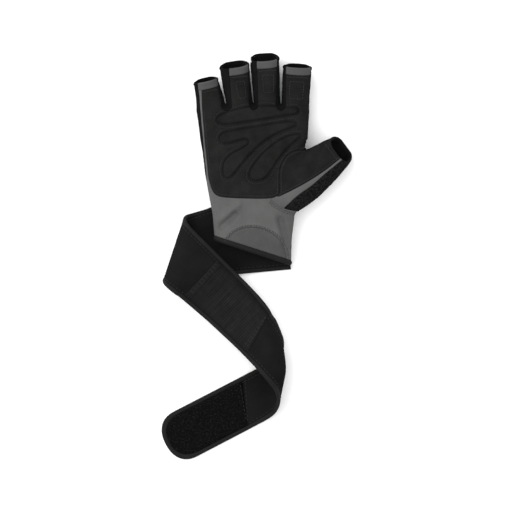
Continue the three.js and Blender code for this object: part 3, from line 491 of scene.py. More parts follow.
def cut(sheet, values):
    """The part of a sheet where values are negative, with a clean edge along their zero line."""
    points, normals, triangles = sheet
    values = np.where(np.abs(values) < 0.1, 0.0, values)
    keep = values <= 0
    count = keep[triangles].sum(axis=1)
    done = [triangles[count == 3]]
    new_points, new_normals, made = [], [], {}

    def crossing(i, j):
        """Numbers of the corners on the edges from kept corners i to dropped corners j."""
        numbers = np.empty(len(i), int)
        for n, (a, b) in enumerate(zip(i.tolist(), j.tolist())):
            if values[a] == 0:
                numbers[n] = a
                continue
            if (a, b) not in made:
                t = values[a] / (values[a] - values[b])
                made[a, b] = len(points) + len(new_points)
                new_points.append(mix(points[a], points[b], t))
                new_normals.append(mix(normals[a], normals[b], t))
            numbers[n] = made[a, b]
        return numbers

    for wanted in (1, 2):
        part = triangles[count == wanted]
        odd = keep[part] if wanted == 1 else ~keep[part]
        first = odd.argmax(axis=1)
        rows = np.arange(len(part))
        a, b, c = (part[rows, (first + k) % 3] for k in range(3))
        if wanted == 1:
            done.append(np.stack([a, crossing(a, b), crossing(a, c)], axis=1))
        else:
            ab, ac = crossing(b, a), crossing(c, a)
            done.append(np.stack([ab, b, c], axis=1))
            done.append(np.stack([ab, c, ac], axis=1))
    triangles = np.concatenate(done)
    triangles = triangles[np.all(triangles != np.roll(triangles, -1, axis=1), axis=1)]
    if new_points:
        points = np.vstack([points, new_points])
        normals = np.vstack([normals, new_normals])
        normals = normals / (np.linalg.norm(normals, axis=1)[:, None] + 1e-12)
    used, where = np.unique(triangles, return_inverse=True)
    return points[used], normals[used], where.reshape(triangles.shape)


def rim_edges(triangles):
    """The directed edges that only one triangle has."""
    edges = np.concatenate([triangles[:, [k, (k + 1) % 3]] for k in range(3)])
    forward, backward = edges @ [len(edges), 1], edges @ [1, len(edges)]
    return edges[~np.isin(forward, backward)]


def from_rim(sheet):
    """How far each corner of a sheet is from its rim."""
    points, _, triangles = sheet
    rim = np.unique(rim_edges(triangles))
    tree = KDTree(len(rim))
    for k, corner in enumerate(points[rim]):
        tree.insert(corner, k)
    tree.balance()
    return np.array([tree.find(p)[2] for p in points])


def thick(sheet, outer, inner, bulge=0.2):
    """A closed wall on a sheet, from inner mm below to outer mm above, with a rounded rim."""
    points, normals, triangles = sheet
    outer = np.broadcast_to(outer, len(points))[:, None]
    inner = np.broadcast_to(inner, len(points))[:, None]
    edges = rim_edges(triangles)
    aside = np.zeros_like(points)
    run = points[edges[:, 1]] - points[edges[:, 0]]
    for end in (0, 1):
        out = np.cross(run, normals[edges[:, end]])
        for axis in range(3):
            aside[:, axis] += np.bincount(edges[:, end], out[:, axis], len(points))
    aside /= np.linalg.norm(aside, axis=1)[:, None] + 1e-12
    middle = points + normals * (outer - inner) / 2
    half = (outer + inner) / 2
    layers = [points + normals * outer, points - normals * inner]
    for turn in (0.25, 0.5, 0.75):
        angle = math.pi * turn
        layers.append(middle + normals * half * math.cos(angle) + aside * bulge * math.sin(angle))
    count = len(points)
    faces = [triangles, triangles[:, ::-1] + count]
    order = [0, 2, 3, 4, 1]
    for upper, lower in zip(order, order[1:]):
        i, j = edges.T
        quads = np.stack([j + upper * count, i + upper * count,
                          i + lower * count, j + lower * count], axis=1)
        faces.append(split(quads))
    faces = np.concatenate(faces)
    used, where = np.unique(faces, return_inverse=True)
    return np.vstack(layers)[used], where.reshape(faces.shape)


def ring_quads(index):
    """Quads between rings of numbered corners."""
    ahead = np.roll(index, -1, axis=1)
    return np.stack([index[:-1], ahead[:-1], ahead[1:], index[1:]], axis=-1).reshape(-1, 4)


def tube(rings):
    """A closed skin through rings of points with the same count."""
    rings = np.array(rings, float)
    count, sides = rings.shape[:2]
    index = np.arange(count * sides).reshape(count, sides)
    nxt = np.roll(index, -1, axis=1)
    points = np.vstack([rings.reshape(-1, 3), rings[0].mean(axis=0), rings[-1].mean(axis=0)])
    first, last = count * sides, count * sides + 1
    caps = [np.stack([nxt[0], index[0], np.full(sides, first)], axis=1),
            np.stack([index[-1], nxt[-1], np.full(sides, last)], axis=1)]
    faces = np.concatenate([split(ring_quads(index)), *caps])
    a, b, c = (points[faces[:, k]] for k in range(3))
    if np.einsum("ij,ij->i", a, np.cross(b, c)).sum() < 0:
        faces = faces[:, ::-1]
    return points, faces


# The glove's form

def section_field(side, up, left, right, low, high):
    """Distance out of a rounded section with a flat base, negative inside."""
    waist, half = (low + high) / 2, (high - low) / 2
    wide = np.where(side > 0, right, left)
    tall = np.where(up > waist, half, half * FLATTENING)
    x = np.abs(side) / wide + 1e-6
    z = np.abs(up - waist) / tall + 1e-6
    n = SQUARENESS
    reach = (x**n + z**n) ** (1 / n)
    grow = np.sqrt((x ** (n - 1) / wide) ** 2 + (z ** (n - 1) / tall) ** 2) * reach ** (1 - n)
    return np.maximum(np.clip((reach - 1) / grow, -9, 9), low - up)


def joined(a, b, radius):
    """Two forms as one, with a fillet where they meet."""
    share = np.clip(0.5 + 0.5 * (b - a) / radius, 0, 1)
    return mix(b, a, share) - radius * share * (1 - share)


class Glove:
    """The glove's form, its seams and the lines of its panels."""

    def __init__(self, sizes, strap):
        mm = 1000
        self.width = sizes.palm_width * mm
        self.length = sizes.palm_length * mm
        self.depth = sizes.palm_depth * mm
        self.cuff = (sizes.cuff_left * mm, sizes.cuff_right * mm)
        self.moon = [v * mm for v in sizes.moon]
        self.rise = sizes.finger_rise * mm
        self.root_depth = sizes.finger_root_depth * mm
        self.thumb_length, self.thumb_width, self.thumb_depth = (v * mm for v in sizes.thumb)
        self.thumb_rise = sizes.thumb_rise * mm
        self.thumb_angle = sizes.thumb_angle
        self.thumb_open = THUMB_OPEN * np.array([self.width, self.length])
        self.wall = sizes.wall * mm
        self.pad = sizes.pad_thickness * mm
        self.band = sizes.band_width * mm
        self.hem = sizes.hem_width * mm
        self.wrist_hem = sizes.wrist_hem_width * mm
        self.seat = strap.binding[1] * mm + SEAT_GAP
        self.fingers = [
            dict(finger, length=sizes.finger_lengths[k] * mm, width=sizes.finger_widths[k] * mm,
                 depth=sizes.finger_depths[k] * mm)
            for k, finger in enumerate(FINGERS)
        ]
        self.skin = self.make_skin()
        self.pads = {
            "knuckle_pad": self.plan(KNUCKLE_PAD, True, 90),
            "palm_pad": self.plan(PALM_PAD, True, 150),
            "thumb_side_pad": self.plan(THUMB_SIDE_PAD, True, 90),
        }

    def plan(self, shares, closed=False, count=40):
        points = np.array(shares) * [self.width, self.length]
        return smooth_line(points, closed, count)

    def heading(self, finger):
        """A finger's direction in plan, and how far it reaches from the crotch line."""
        way = self.finger_middle(finger, 1) - self.finger_middle(finger, 0)
        reach = np.linalg.norm(way)
        return way / reach, reach

    def finger_place(self, finger, points):
        """Distance along a finger from the crotch line, and distance aside."""
        heading, _ = self.heading(finger)
        x = points[..., 0] - finger["root"] * self.width
        y = points[..., 1] - self.length
        return x * heading[0] + y * heading[1], x * heading[1] - y * heading[0]

    def finger_middle(self, finger, along):
        """A place on a finger's middle line, from 0 at the crotch line to 1 at its opening."""
        return np.array([mix(finger["root"], finger["tip"], along) * self.width,
                         self.length + along * finger["length"]])

    def finger_field(self, finger, points):
        """Distance out of a finger, negative inside."""
        def form(along):
            return (column(FINGER_FORM, "lift", along) * self.rise,
                    mix(self.root_depth, finger["depth"], column(FINGER_FORM, "depth", along)))

        ahead, side = self.finger_place(finger, points)
        _, reach = self.heading(finger)
        along = ahead / reach
        lift, depth = form(along)
        lean = math.tan(math.radians(finger["slant"])) * np.clip(along, 0, 1)
        along = along + (points[..., 2] - lift - depth / 2) * lean / reach
        lift, depth = form(along)
        half = finger["width"] / 2 * mix(finger["root_width"], 1,
                                         column(FINGER_FORM, "width", np.minimum(along, 1)))
        field = section_field(side, points[..., 2], half, half, lift, lift + depth)
        return np.maximum(field, np.abs(ahead - 8) - reach - 8)

    def finger_open(self, finger, points):
        """Distance out past a finger's slanted opening."""
        ahead, side = self.finger_place(finger, points)
        slant = math.radians(finger["slant"])
        up = points[..., 2] - self.rise - finger["depth"] / 2
        low = np.clip(-2 * up / finger["depth"], 0, 1)
        corner = np.minimum(1.1, np.abs(2 * side / finger["width"])) ** 3
        past = ahead - self.heading(finger)[1]
        return past * math.cos(slant) + up * math.sin(slant) + RIM_ROUNDING * corner * low

    def thumb_place(self, points):
        """Distance along the thumb past its opening, and distance aside."""
        x = points[..., 0] - self.thumb_open[0]
        y = points[..., 1] - self.thumb_open[1]
        c, s = math.cos(self.thumb_angle), math.sin(self.thumb_angle)
        return x * c + y * s, y * c - x * s

    def thumb_plan(self, along, across):
        c, s = math.cos(self.thumb_angle), math.sin(self.thumb_angle)
        ahead, side = along * self.thumb_length, across * self.thumb_width
        return self.thumb_open + [ahead * c - side * s, ahead * s + side * c]

    def thumb_field(self, points):
        """Distance out of the thumb, negative inside."""
        def form(along):
            return (column(THUMB_FORM, "lift", along) * self.thumb_rise,
                    column(THUMB_FORM, "depth", along) * self.thumb_depth)

        ahead, side = self.thumb_place(points)
        along = ahead / self.thumb_length
        lift, depth = form(along)
        lean = math.tan(THUMB_SLANT) * np.clip(1 + along, 0, 1)
        along = along + (points[..., 2] - lift - depth / 2) * lean / self.thumb_length
        lift, depth = form(along)
        low = column(THUMB_FORM, "low", along) * self.thumb_width
        high = column(THUMB_FORM, "high", along) * self.thumb_width
        field = section_field(side, points[..., 2], low, high, lift, lift + depth)
        return np.maximum(field, -(ahead + 1.2 * self.thumb_length))

    def thumb_end(self, points):
        """Distance out past the thumb's slanted opening."""
        ahead, _ = self.thumb_place(points)
        up = points[..., 2] - self.thumb_rise - self.thumb_depth / 2
        return ahead * math.cos(THUMB_SLANT) + up * math.sin(THUMB_SLANT)

    def make_skin(self):
        """The smooth skin round the whole glove, before it is cut into panels."""
        low = np.array([-60.0, -14.0, -1.6])
        high = np.array([95.0, 208.0, 38.0])
        step = np.array([FINE * 0.94, FINE * 1.06, FINE])
        count = np.ceil((high - low) / step).astype(int) + 1
        axes = [low[k] + step[k] * np.arange(count[k]) for k in range(3)]
        x, y, z = axes[0][:, None, None], axes[1][None, :, None], axes[2][None, None, :]
        along = y / self.length
        field = section_field(
            x, z,
            column(PALM, "left", along) * self.width, column(PALM, "right", along) * self.width,
            column(PALM, "base", along) * self.seat, column(PALM, "top", along) * self.depth)
        field = np.maximum(field, y - 1.003 * self.length)

        def block(lows, highs):
            return tuple(
                slice(int(np.searchsorted(a, lo)), int(np.searchsorted(a, hi)))
                for a, lo, hi in zip(axes, lows, highs))

        def spots(part):
            grid = np.meshgrid(*[a[s] for a, s in zip(axes, part)], indexing="ij")
            return np.stack(grid, axis=-1)

        middles = [self.finger_middle(f, along)[0] for f in self.fingers for along in (0, 1)]
        roots, tips = middles[::2], middles[1::2]
        part = block((-60, 118, -2), (60, 210, 40))
        points = spots(part)
        whole = field[part]
        fingers = np.full(whole.shape, 9.0)
        up = (points[..., 1] - self.length) / self.fingers[1]["length"]
        for k, finger in enumerate(self.fingers):
            one = self.finger_field(finger, points)
            for other in (k - 1, k + 1):
                if not 0 <= other < len(self.fingers):
                    continue
                way = 1 if other > k else -1
                meeting = (tips[k] + way * finger["width"] / 2
                           + tips[other] - way * self.fingers[other]["width"] / 2) / 2
                wall = mix((roots[k] + roots[other]) / 2, meeting, up)
                beyond = (points[..., 0] - wall) * way + FINGER_GAP
                apart = ease(points[..., 1], self.length - 6, self.length - 3)
                one = np.maximum(one, mix(-9, beyond, apart))
            fingers = np.minimum(fingers, one)
        field[part] = joined(whole, fingers, FINGER_FILLET)
        part = block((-5, 50, -2), (95, 140, 40))
        field[part] = joined(field[part], self.thumb_field(spots(part)), THUMB_FILLET)
        field = np.maximum(field, 0.05 - z)
        points, quads = surface_net(field, low, step)
        points = relaxed(points, quads, 6)
        triangles = split(quads)
        return points, directions(points, triangles), triangles

    def seam(self, points):
        """Height of the seam between the back of the glove and its palm side."""
        x, y = points[:, 0], points[:, 1]
        across, up = x / self.width, y / self.length
        past = np.maximum(0, y - 0.93 * self.length) / self.fingers[2]["length"]
        fingers = self.rise * np.minimum(1.2, past**1.3)
        pinky = 0.9 * np.maximum(0, -across - 0.4) * up**2 * self.depth
        along, aside = self.thumb_place(points)
        along, aside = along / self.thumb_length, aside / self.thumb_width
        near = ease(along, -1, -0.4) * (1 - ease(up, 0.85, 1))
        thumb = near * self.thumb_rise * (0.35 + np.maximum(-0.4, along))
        low_side = ease(-aside, 0.15, 0.5) * ease(along, -1.25, -1)
        wrapped = mix(-0.42, -0.503, (up - 0.55) / 0.6) - across
        pinky += 0.5 * self.depth * ease(wrapped, -0.004, 0.006) * ease(up, 0.5, 0.62)
        usual = 0.42 * self.depth + fingers + pinky + thumb
        return mix(usual, 0.19 * self.depth + 0.7 * np.maximum(0, thumb), low_side)

    def past_opening(self, points):
        """Distance out past the nearest opening; far below zero away from them all."""
        out = np.full(len(points), -99.0)
        for finger in self.fingers:
            ahead, side = self.finger_place(finger, points)
            near = (np.abs(side) < finger["width"] / 2 + 2) & (ahead > 4)
            out = np.where(near, np.maximum(out, self.finger_open(finger, points)), out)
        ahead, side = self.thumb_place(points)
        near = (ahead > -30) & (points[:, 0] > 50) & (np.abs(side) < self.thumb_width)
        return np.where(near, self.thumb_end(points), out)

    def which_finger(self, points):
        """Number of the nearest finger, 4 for the thumb and -1 for the palm."""
        place = [np.abs(self.finger_place(f, points)[1]) for f in self.fingers]
        number = np.argmin(place, axis=0)
        number = np.where(points[:, 1] < self.length - 8, -1, number)
        return np.where((points[:, 0] > 50) & (points[:, 1] < self.length), 4, number)

    def above_cuff(self, points):
        """Distance past the cuff's slanted edge, negative on the glove's side."""
        left, right = -CUFF_HALF * self.width, CUFF_HALF * self.width
        slope = (self.cuff[1] - self.cuff[0]) / (right - left)
        edge = self.cuff[0] + (points[:, 0] - left) * slope
        return (edge - points[:, 1]) / math.hypot(1, slope)

    def moon_line(self):
        """The half-moon's arc, on past the cuff's edge at both ends."""
        slant = math.atan2(self.cuff[1] - self.cuff[0], 2 * CUFF_HALF * self.width)
        foot = np.array([0.025 * self.width, sum(self.cuff) / 2])
        angle = np.linspace(-0.35, math.pi + 0.35, 60)
        across, up = self.moon[0] / 2 * np.cos(angle), self.moon[1] * np.sin(angle)
        return np.stack([
            foot[0] + across * math.cos(slant) - up * math.sin(slant),
            foot[1] + across * math.sin(slant) + up * math.cos(slant)], axis=1)

    def gusset_line(self, left, right):
        """Outline of the black gusset between two fingers, round at its foot."""
        def edge(finger, side, along):
            way, _ = self.heading(finger)
            share = mix(finger["front_root"][side], finger["front_tip"][side], along)
            aside = share * finger["width"] / 2 * mix(finger["root_width"], 1, along)
            return self.finger_middle(finger, along) + aside * np.array([way[1], -way[0]])

        foot_left, foot_right = edge(left, 1, 0), edge(right, 0, 0)
        radius = (foot_right[0] - foot_left[0]) / 2
        middle = [(foot_left[0] + foot_right[0]) / 2, self.length - 1]
        angle = np.linspace(math.pi, 2 * math.pi, 14)[1:-1]
        foot = np.stack([middle[0] + radius * np.cos(angle),
                         middle[1] + 1.15 * radius * np.sin(angle)], axis=1)
        return np.vstack([edge(left, 1, 1.5), foot_left, foot, foot_right, edge(right, 0, 1.5)])

    def leather_line(self):
        """Outline of the palm's leather, closed round the fingers."""
        edge = self.plan(LEATHER_EDGE, count=60)
        seam = self.plan(THUMB_SEAM, count=30)
        top = np.array([[0.54, 0.8], [0.7, 1.5], [LEATHER_EDGE[0][0], 1.5]])
        return np.vstack([edge, seam[1:], top * [self.width, self.length]])

    def strip_line(self, shares):
        return smooth_line([self.thumb_plan(a, b) for a, b in shares], False, 40)


# The strap: a flat strip that is rolled over at two creases

class Strap:
    """The strap's middle layer, as a map from its length and width to its place."""

    def __init__(self, sizes, glove):
        mm = 1000
        self.wide, self.end_wide = sizes.width * mm, sizes.end_width * mm
        self.thickness = sizes.thickness * mm
        self.across = sizes.across * mm
        self.under = sizes.under * mm
        self.rolls = [v * mm for v in sizes.rolls]
        self.bend = sizes.bend
        self.border, self.border_thick = (v * mm for v in sizes.binding)
        heading = sizes.heading
        origin = np.array([STRAP_START * glove.width, self.wide / 2 + STRAP_FOOT])
        self.start = dict(u=0.0, origin=origin, ahead=self.way(heading),
                          side=self.way(heading + math.pi / 2))
        self.first = self.roll(self.start, self.under, sizes.first_crease, self.rolls[0])
        self.across_start = self.under + self.first["length"]
        self.bend_start = self.across_start + BEND_FROM * self.across
        self.bend_end = self.across_start + self.across
        self.second = self.roll(self.turned(self.bend_end), self.bend_end, sizes.second_crease,
                                self.rolls[1], LOWERED)
        self.tongue_start = self.bend_end + self.second["length"]
        self.end = self.tongue_start + sizes.tongue * mm
        self.webbing = (self.across_start + sizes.webbing[0] * mm,
                        self.across_start + (sizes.webbing[0] + sizes.webbing[1]) * mm)
        inside = self.end - self.border - EDGE_GAP
        self.hook = (inside - sizes.hook_length * mm, inside)
        self.round = STRAP_ROUND
        self.round_start = inside - STRAP_ROUND

    @staticmethod
    def way(angle):
        return np.array([math.cos(angle), math.sin(angle)])

    def roll(self, at, u, crease, radius, lower=0.0):
        """A roll of the strip over a crease, and how the strip lies after it."""
        origin = at["origin"] + (u - at["u"]) * at["ahead"]
        fold = self.way(crease)
        flip = 1 if at["ahead"] @ [fold[1], -fold[0]] > 0 else -1
        out = flip * np.array([fold[1], -fold[0]])
        rate = at["ahead"] @ out

        def mirrored(v):
            return (v @ fold) * fold - (v @ out) * out

        after = dict(u=u, origin=origin + math.pi * radius * out, ahead=mirrored(at["ahead"]),
                     side=mirrored(at["side"]))
        return dict(at=at, u=u, origin=origin, fold=fold, out=out, radius=radius, lower=lower,
                    rate=rate, skew=-(at["side"] @ out) / rate,
                    length=math.pi * radius / rate, after=after)

    def turned(self, u):
        """How the strip lies in its bend between the rolls."""
        at = self.first["after"]
        length = self.bend_end - self.bend_start
        share = float(np.clip((u - self.bend_start) / length, 0, 1))
        angle = self.bend * share
        radius = length / self.bend
        start = at["origin"] + (self.bend_start - at["u"]) * at["ahead"]
        heading = math.atan2(at["ahead"][1], at["ahead"][0])
        origin = start + radius * np.array([math.sin(heading + angle) - math.sin(heading),
                                            math.cos(heading) - math.cos(heading + angle)])
        c, s = math.cos(angle), math.sin(angle)
        turn = np.array([[c, -s], [s, c]])
        return dict(u=self.bend_start + share * length, origin=origin, ahead=turn @ at["ahead"],
                    side=turn @ at["side"])

    @staticmethod
    def flat(at, u, v):
        return at["origin"] + (u - at["u"])[:, None] * at["ahead"] + v[:, None] * at["side"]

    def left(self, roll, v):
        """The share of a roll's height that is left at a distance across the strap."""
        return 1 - roll["lower"] * ease(-v, 0, self.end_wide / 2)

    def height(self, u, v):
        """Height of the stretch between the rolls."""
        share = (u - self.across_start) / self.across
        first = 2 * self.rolls[0] * (1 - ease(share, 0, SAG))
        second = 2 * self.rolls[1] * ease(share, 1 - SAG, 1)
        return first + second * mix(1, self.left(self.second, v), self.nearing(u))

    def nearing(self, u):
        """From 0 to 1 on the way to the second roll."""
        return ease(u, self.second["u"] - STRAP_SWING, self.second["u"])

    def place(self, u, v):
        """Points of the middle layer."""
        u, v = np.broadcast_arrays(np.asarray(u, float), np.asarray(v, float))
        u, v = u.ravel(), v.ravel()
        out = np.zeros((len(u), 3))
        ground = self.border_thick / 2
        first, second = self.first, self.second
        done = np.zeros(len(u), bool)
        for roll, low, high in ((first, 0, 2 * self.rolls[0]), (second, 2 * self.rolls[1], 0)):
            here = (u >= roll["u"]) & (u <= roll["u"] + roll["length"])
            turn = (u[here] - roll["u"]) / roll["length"] * math.pi
            ahead, side = roll["at"]["ahead"] @ roll["fold"], roll["at"]["side"] @ roll["fold"]
            along = (u[here] - roll["u"]) * ahead + v[here] * (side + roll["skew"] * ahead)
            left = self.left(roll, v[here])
            out[here, :2] = (roll["origin"] + along[:, None] * roll["fold"]
                             + (roll["radius"] * left * np.sin(turn))[:, None] * roll["out"])
            out[here, 2] = ground + left * (low + (high - low) * (1 - np.cos(turn)) / 2)
            done |= here
        here = ~done & (u < first["u"])
        swing = ease(u[here], first["u"] - 1.4 * STRAP_SWING, first["u"])
        out[here, :2] = self.flat(self.start, u[here] + v[here] * first["skew"] * swing, v[here])
        out[here, 2] = ground
        for k in np.flatnonzero(~done & (u > first["u"]) & (u < second["u"])):
            at = first["after"] if u[k] < self.bend_start else self.turned(u[k])
            leaving = 1 - ease(u[k], self.across_start, self.webbing[0])
            skew = first["skew"] * leaving + second["skew"] * self.nearing(u[k])
            out[k, :2] = self.flat(at, u[k:k + 1] + v[k] * skew, v[k:k + 1])[0]
            out[k, 2] = ground + self.height(u[k], v[k])
        here = ~done & (u > second["u"])
        leaving = 1 - ease(u[here], self.tongue_start, self.tongue_start + STRAP_SWING)
        out[here, :2] = self.flat(second["after"], u[here] + v[here] * second["skew"] * leaving,
                                  v[here])
        out[here, 2] = ground
        return out

    def normal(self, u):
        """The direction out of the strap's inner face."""
        u = np.asarray(u, float)
        ahead = self.place(u + 0.5, 0) - self.place(np.maximum(0, u - 0.5), 0)
        side = self.place(u, 1) - self.place(u, -1)
        out = np.cross(ahead, side)
        return out / np.linalg.norm(out, axis=1)[:, None]

    def half(self, u, inset=0.0):
        """Half the strap's width at a place, less an inset all round."""
        u = np.asarray(u, float)
        taper = np.interp(u / self.end, *zip(*STRAP_TAPER[1:]))
        half = mix(self.end_wide, self.wide, taper) / 2 - inset
        into = np.clip((u - (self.end - inset - self.round)) / self.round, 0, 1)
        return half * (1 - into**2.6) ** 0.45

    def rows(self, low, high, step):
        """Places along the strap, closer together round its tongue."""
        bend = self.round_start
        rows = list(np.arange(low, min(high, bend), step)) + [min(high, bend)]
        if high > bend:
            turn = np.linspace(0, 1, 26)[1:]
            rows += list(bend + (high - bend) * np.sin(turn * math.pi / 2))
        return np.array(rows)

    def strip(self, rows, inset, layers, columns):
        """A closed strip between two faces; layers gives both heights at a place and share."""
        half = np.maximum(0.3, self.half(np.minimum(rows, self.end - inset - 0.02), inset))
        share = np.linspace(-1, 1, columns)
        share = np.concatenate([share, share[::-1]])
        u, s = np.repeat(rows, len(share)), np.tile(share, len(rows))
        up = np.tile(np.arange(len(share)) < columns, len(rows))
        high, low = layers(u, s)
        points = self.place(u, s * np.repeat(half, len(share)))
        points = points + self.normal(u) * np.where(up, high, low)[:, None]
        return tube(points.reshape(len(rows), len(share), 3))

    def border_rings(self):
        """Rings of the bound edge: down one side, round the tongue and back."""
        rows = self.rows(0, self.end - 0.01, STRAP_STEP)
        u, side = np.concatenate([rows, rows[::-1]]), np.repeat([1, -1], len(rows))
        bend = self.round_start
        share = np.clip((u - bend) / (self.end - bend), 0, 1)
        inner_u = np.minimum(u, mix(bend, self.end - self.border, share))
        outer = self.place(u, side * self.half(u))
        inner = self.place(inner_u, side * self.half(inner_u, self.border))
        calm = ease(u, self.across_start + 8, self.across_start + 18)
        calm = (calm * (1 - ease(u, self.second["u"] - 4, self.second["u"])))[:, None]
        outer, inner = mix(outer, calmed(outer), calm), mix(inner, calmed(inner), calm)
        normal = self.normal(u)
        angle = np.linspace(0, 2 * math.pi, 14, endpoint=False)
        around = np.sign(np.cos(angle)) * np.abs(np.cos(angle)) ** 0.6
        lift = np.sign(np.sin(angle)) * np.abs(np.sin(angle)) ** 0.75 * self.border_thick / 2
        return np.stack([mix(inner, outer, 0.5 + 0.5 * aside) + normal * up
                         for aside, up in zip(around, lift)], axis=1)


# Threads

def seamed(surface, line, length, gap, weave=0.0):
    """Stitches along a plan line, laid on a surface; weave sets them aslant by turns."""
    line = np.array(line, float)[:, :2]
    total = np.linalg.norm(np.diff(line, axis=0), axis=1).sum()
    count = max(1, int(total / (length + gap)))
    at = even(line, count)
    share = length / (length + gap) / 2
    stitches = []
    for k, (a, b) in enumerate(zip(at, at[1:])):
        middle, run = (a + b) / 2, (b - a) * share
        if weave:
            side = np.array([-run[1], run[0]]) / (np.linalg.norm(run) + 1e-9)
            run = run + side * weave * (1 if k % 2 else -1)
        hits = [surface.ray_cast(Vector((*spot, 99)), Vector((0, 0, -1)))
                for spot in (middle - run, middle + run)]
        if any(hit[0] is None for hit in hits):
            continue
        start, end = (np.array(hit[0]) for hit in hits)
        if abs(start[2] - end[2]) < STEEPEST:
            stitches.append((start, end, np.array(hits[0][1]) + np.array(hits[1][1])))
    return stitches


def thread(stitches, radius):
    """One mesh of all stitches: short arched strands that dip into the cloth at both ends."""
    angle = np.linspace(0, 2 * math.pi, STRAND_SIDES, endpoint=False)[:, None]
    count = len(STRAND) * STRAND_SIDES
    index = np.arange(count).reshape(len(STRAND), STRAND_SIDES)
    fan = range(1, STRAND_SIDES - 1)
    caps = [[index[0, 0], index[0, k + 1], index[0, k]] for k in fan]
    caps += [[index[-1, 0], index[-1, k], index[-1, k + 1]] for k in fan]
    strand = np.concatenate([split(ring_quads(index)), caps])
    points = []
    for a, b, normal in stitches:
        size = np.linalg.norm(b - a)
        if size < 1e-6:
            continue
        normal = normal / (np.linalg.norm(normal) + 1e-9)
        ahead = (b - a) / size
        side = np.cross(normal, ahead)
        side /= np.linalg.norm(side) + 1e-9
        for share, wide, high in STRAND:
            centre = a + ahead * size * share + normal * (THREAD_LIFT + high * radius)
            points.append(centre + wide * radius * (np.cos(angle) * side + np.sin(angle) * normal))
    points = np.concatenate(points)
    starts = np.arange(0, len(points), count)
    return points, (starts[:, None, None] + strand).reshape(-1, 3)


def finger_stitches(palm, g, finger):
    """The slanted row under a finger's band and the sewn rectangle on its front."""
    way, reach = g.heading(finger)
    side = np.array([way[1], -way[0]])

    def spot(ahead, aside):
        return g.finger_middle(finger, 0) + ahead * way + aside * side

    half = finger["width"] / 2
    low, high = finger["front_tip"]
    low, high = max(low, -0.8) * half + 1.2, min(high, 0.85) * half - 1.2
    under = reach - g.band - finger["depth"] / 2 * math.tan(math.radians(finger["slant"])) - 1.6
    rows = seamed(palm, [spot(under, low), spot(under, high)], 1.3, 0.4, 0.5)
    box = [spot(under - 4, low + 3), spot(under - 4, high - 3), spot(under - 19, high - 3.6),
           spot(under - 19, low + 3.6), spot(under - 4, low + 3)]
    if reach > 30:
        for a, b in zip(box, box[1:]):
            rows += seamed(palm, [a, b], 1.7, 0.8)
    return rows


def strap_stitches(s, u, v, face, height):
    """Stitches along a path on one face of the strap, at a height over its middle layer."""
    length, gap = STRAP_STITCH
    normals = s.normal(u) * face
    points = s.place(u, v) + normals * height
    run = np.concatenate([[0], np.cumsum(np.linalg.norm(np.diff(points, axis=0), axis=1))])
    stitches = []
    for k in range(int(run[-1] / (length + gap))):
        start = (k + 0.5) * (length + gap) - length / 2
        a, b = (np.array([np.interp(at, run, points[:, i]) for i in range(3)])
                for at in (start, start + length))
        stitches.append((a, b, normals[min(len(u) - 1, int(np.searchsorted(run, start)))]))
    return stitches


# Finishes

class Value:
    """A number of a material that takes part in sums; each step adds its Math node."""

    def __init__(self, finish, socket):
        self.finish, self.socket = finish, socket

    def step(self, operation, *values):
        node = self.finish.node("ShaderNodeMath", {"operation": operation},
                                dict(enumerate(values)))
        return Value(self.finish, node.outputs[0])

    def __add__(self, other):
        return self.step("ADD", self, other)

    def __sub__(self, other):
        return self.step("SUBTRACT", self, other)

    def __rsub__(self, other):
        return self.step("SUBTRACT", other, self)

    def __mul__(self, other):
        return self.step("MULTIPLY", self, other)

    def sin(self):
        return self.step("SINE", self)

    def between(self, low, high):
        """0 below low, 1 above high and straight between them."""
        node = self.finish.node("ShaderNodeMapRange", {"clamp": True}, {
            "Value": self, "From Min": low, "From Max": high, "To Min": 0.0, "To Max": 1.0})
        return Value(self.finish, node.outputs["Result"])


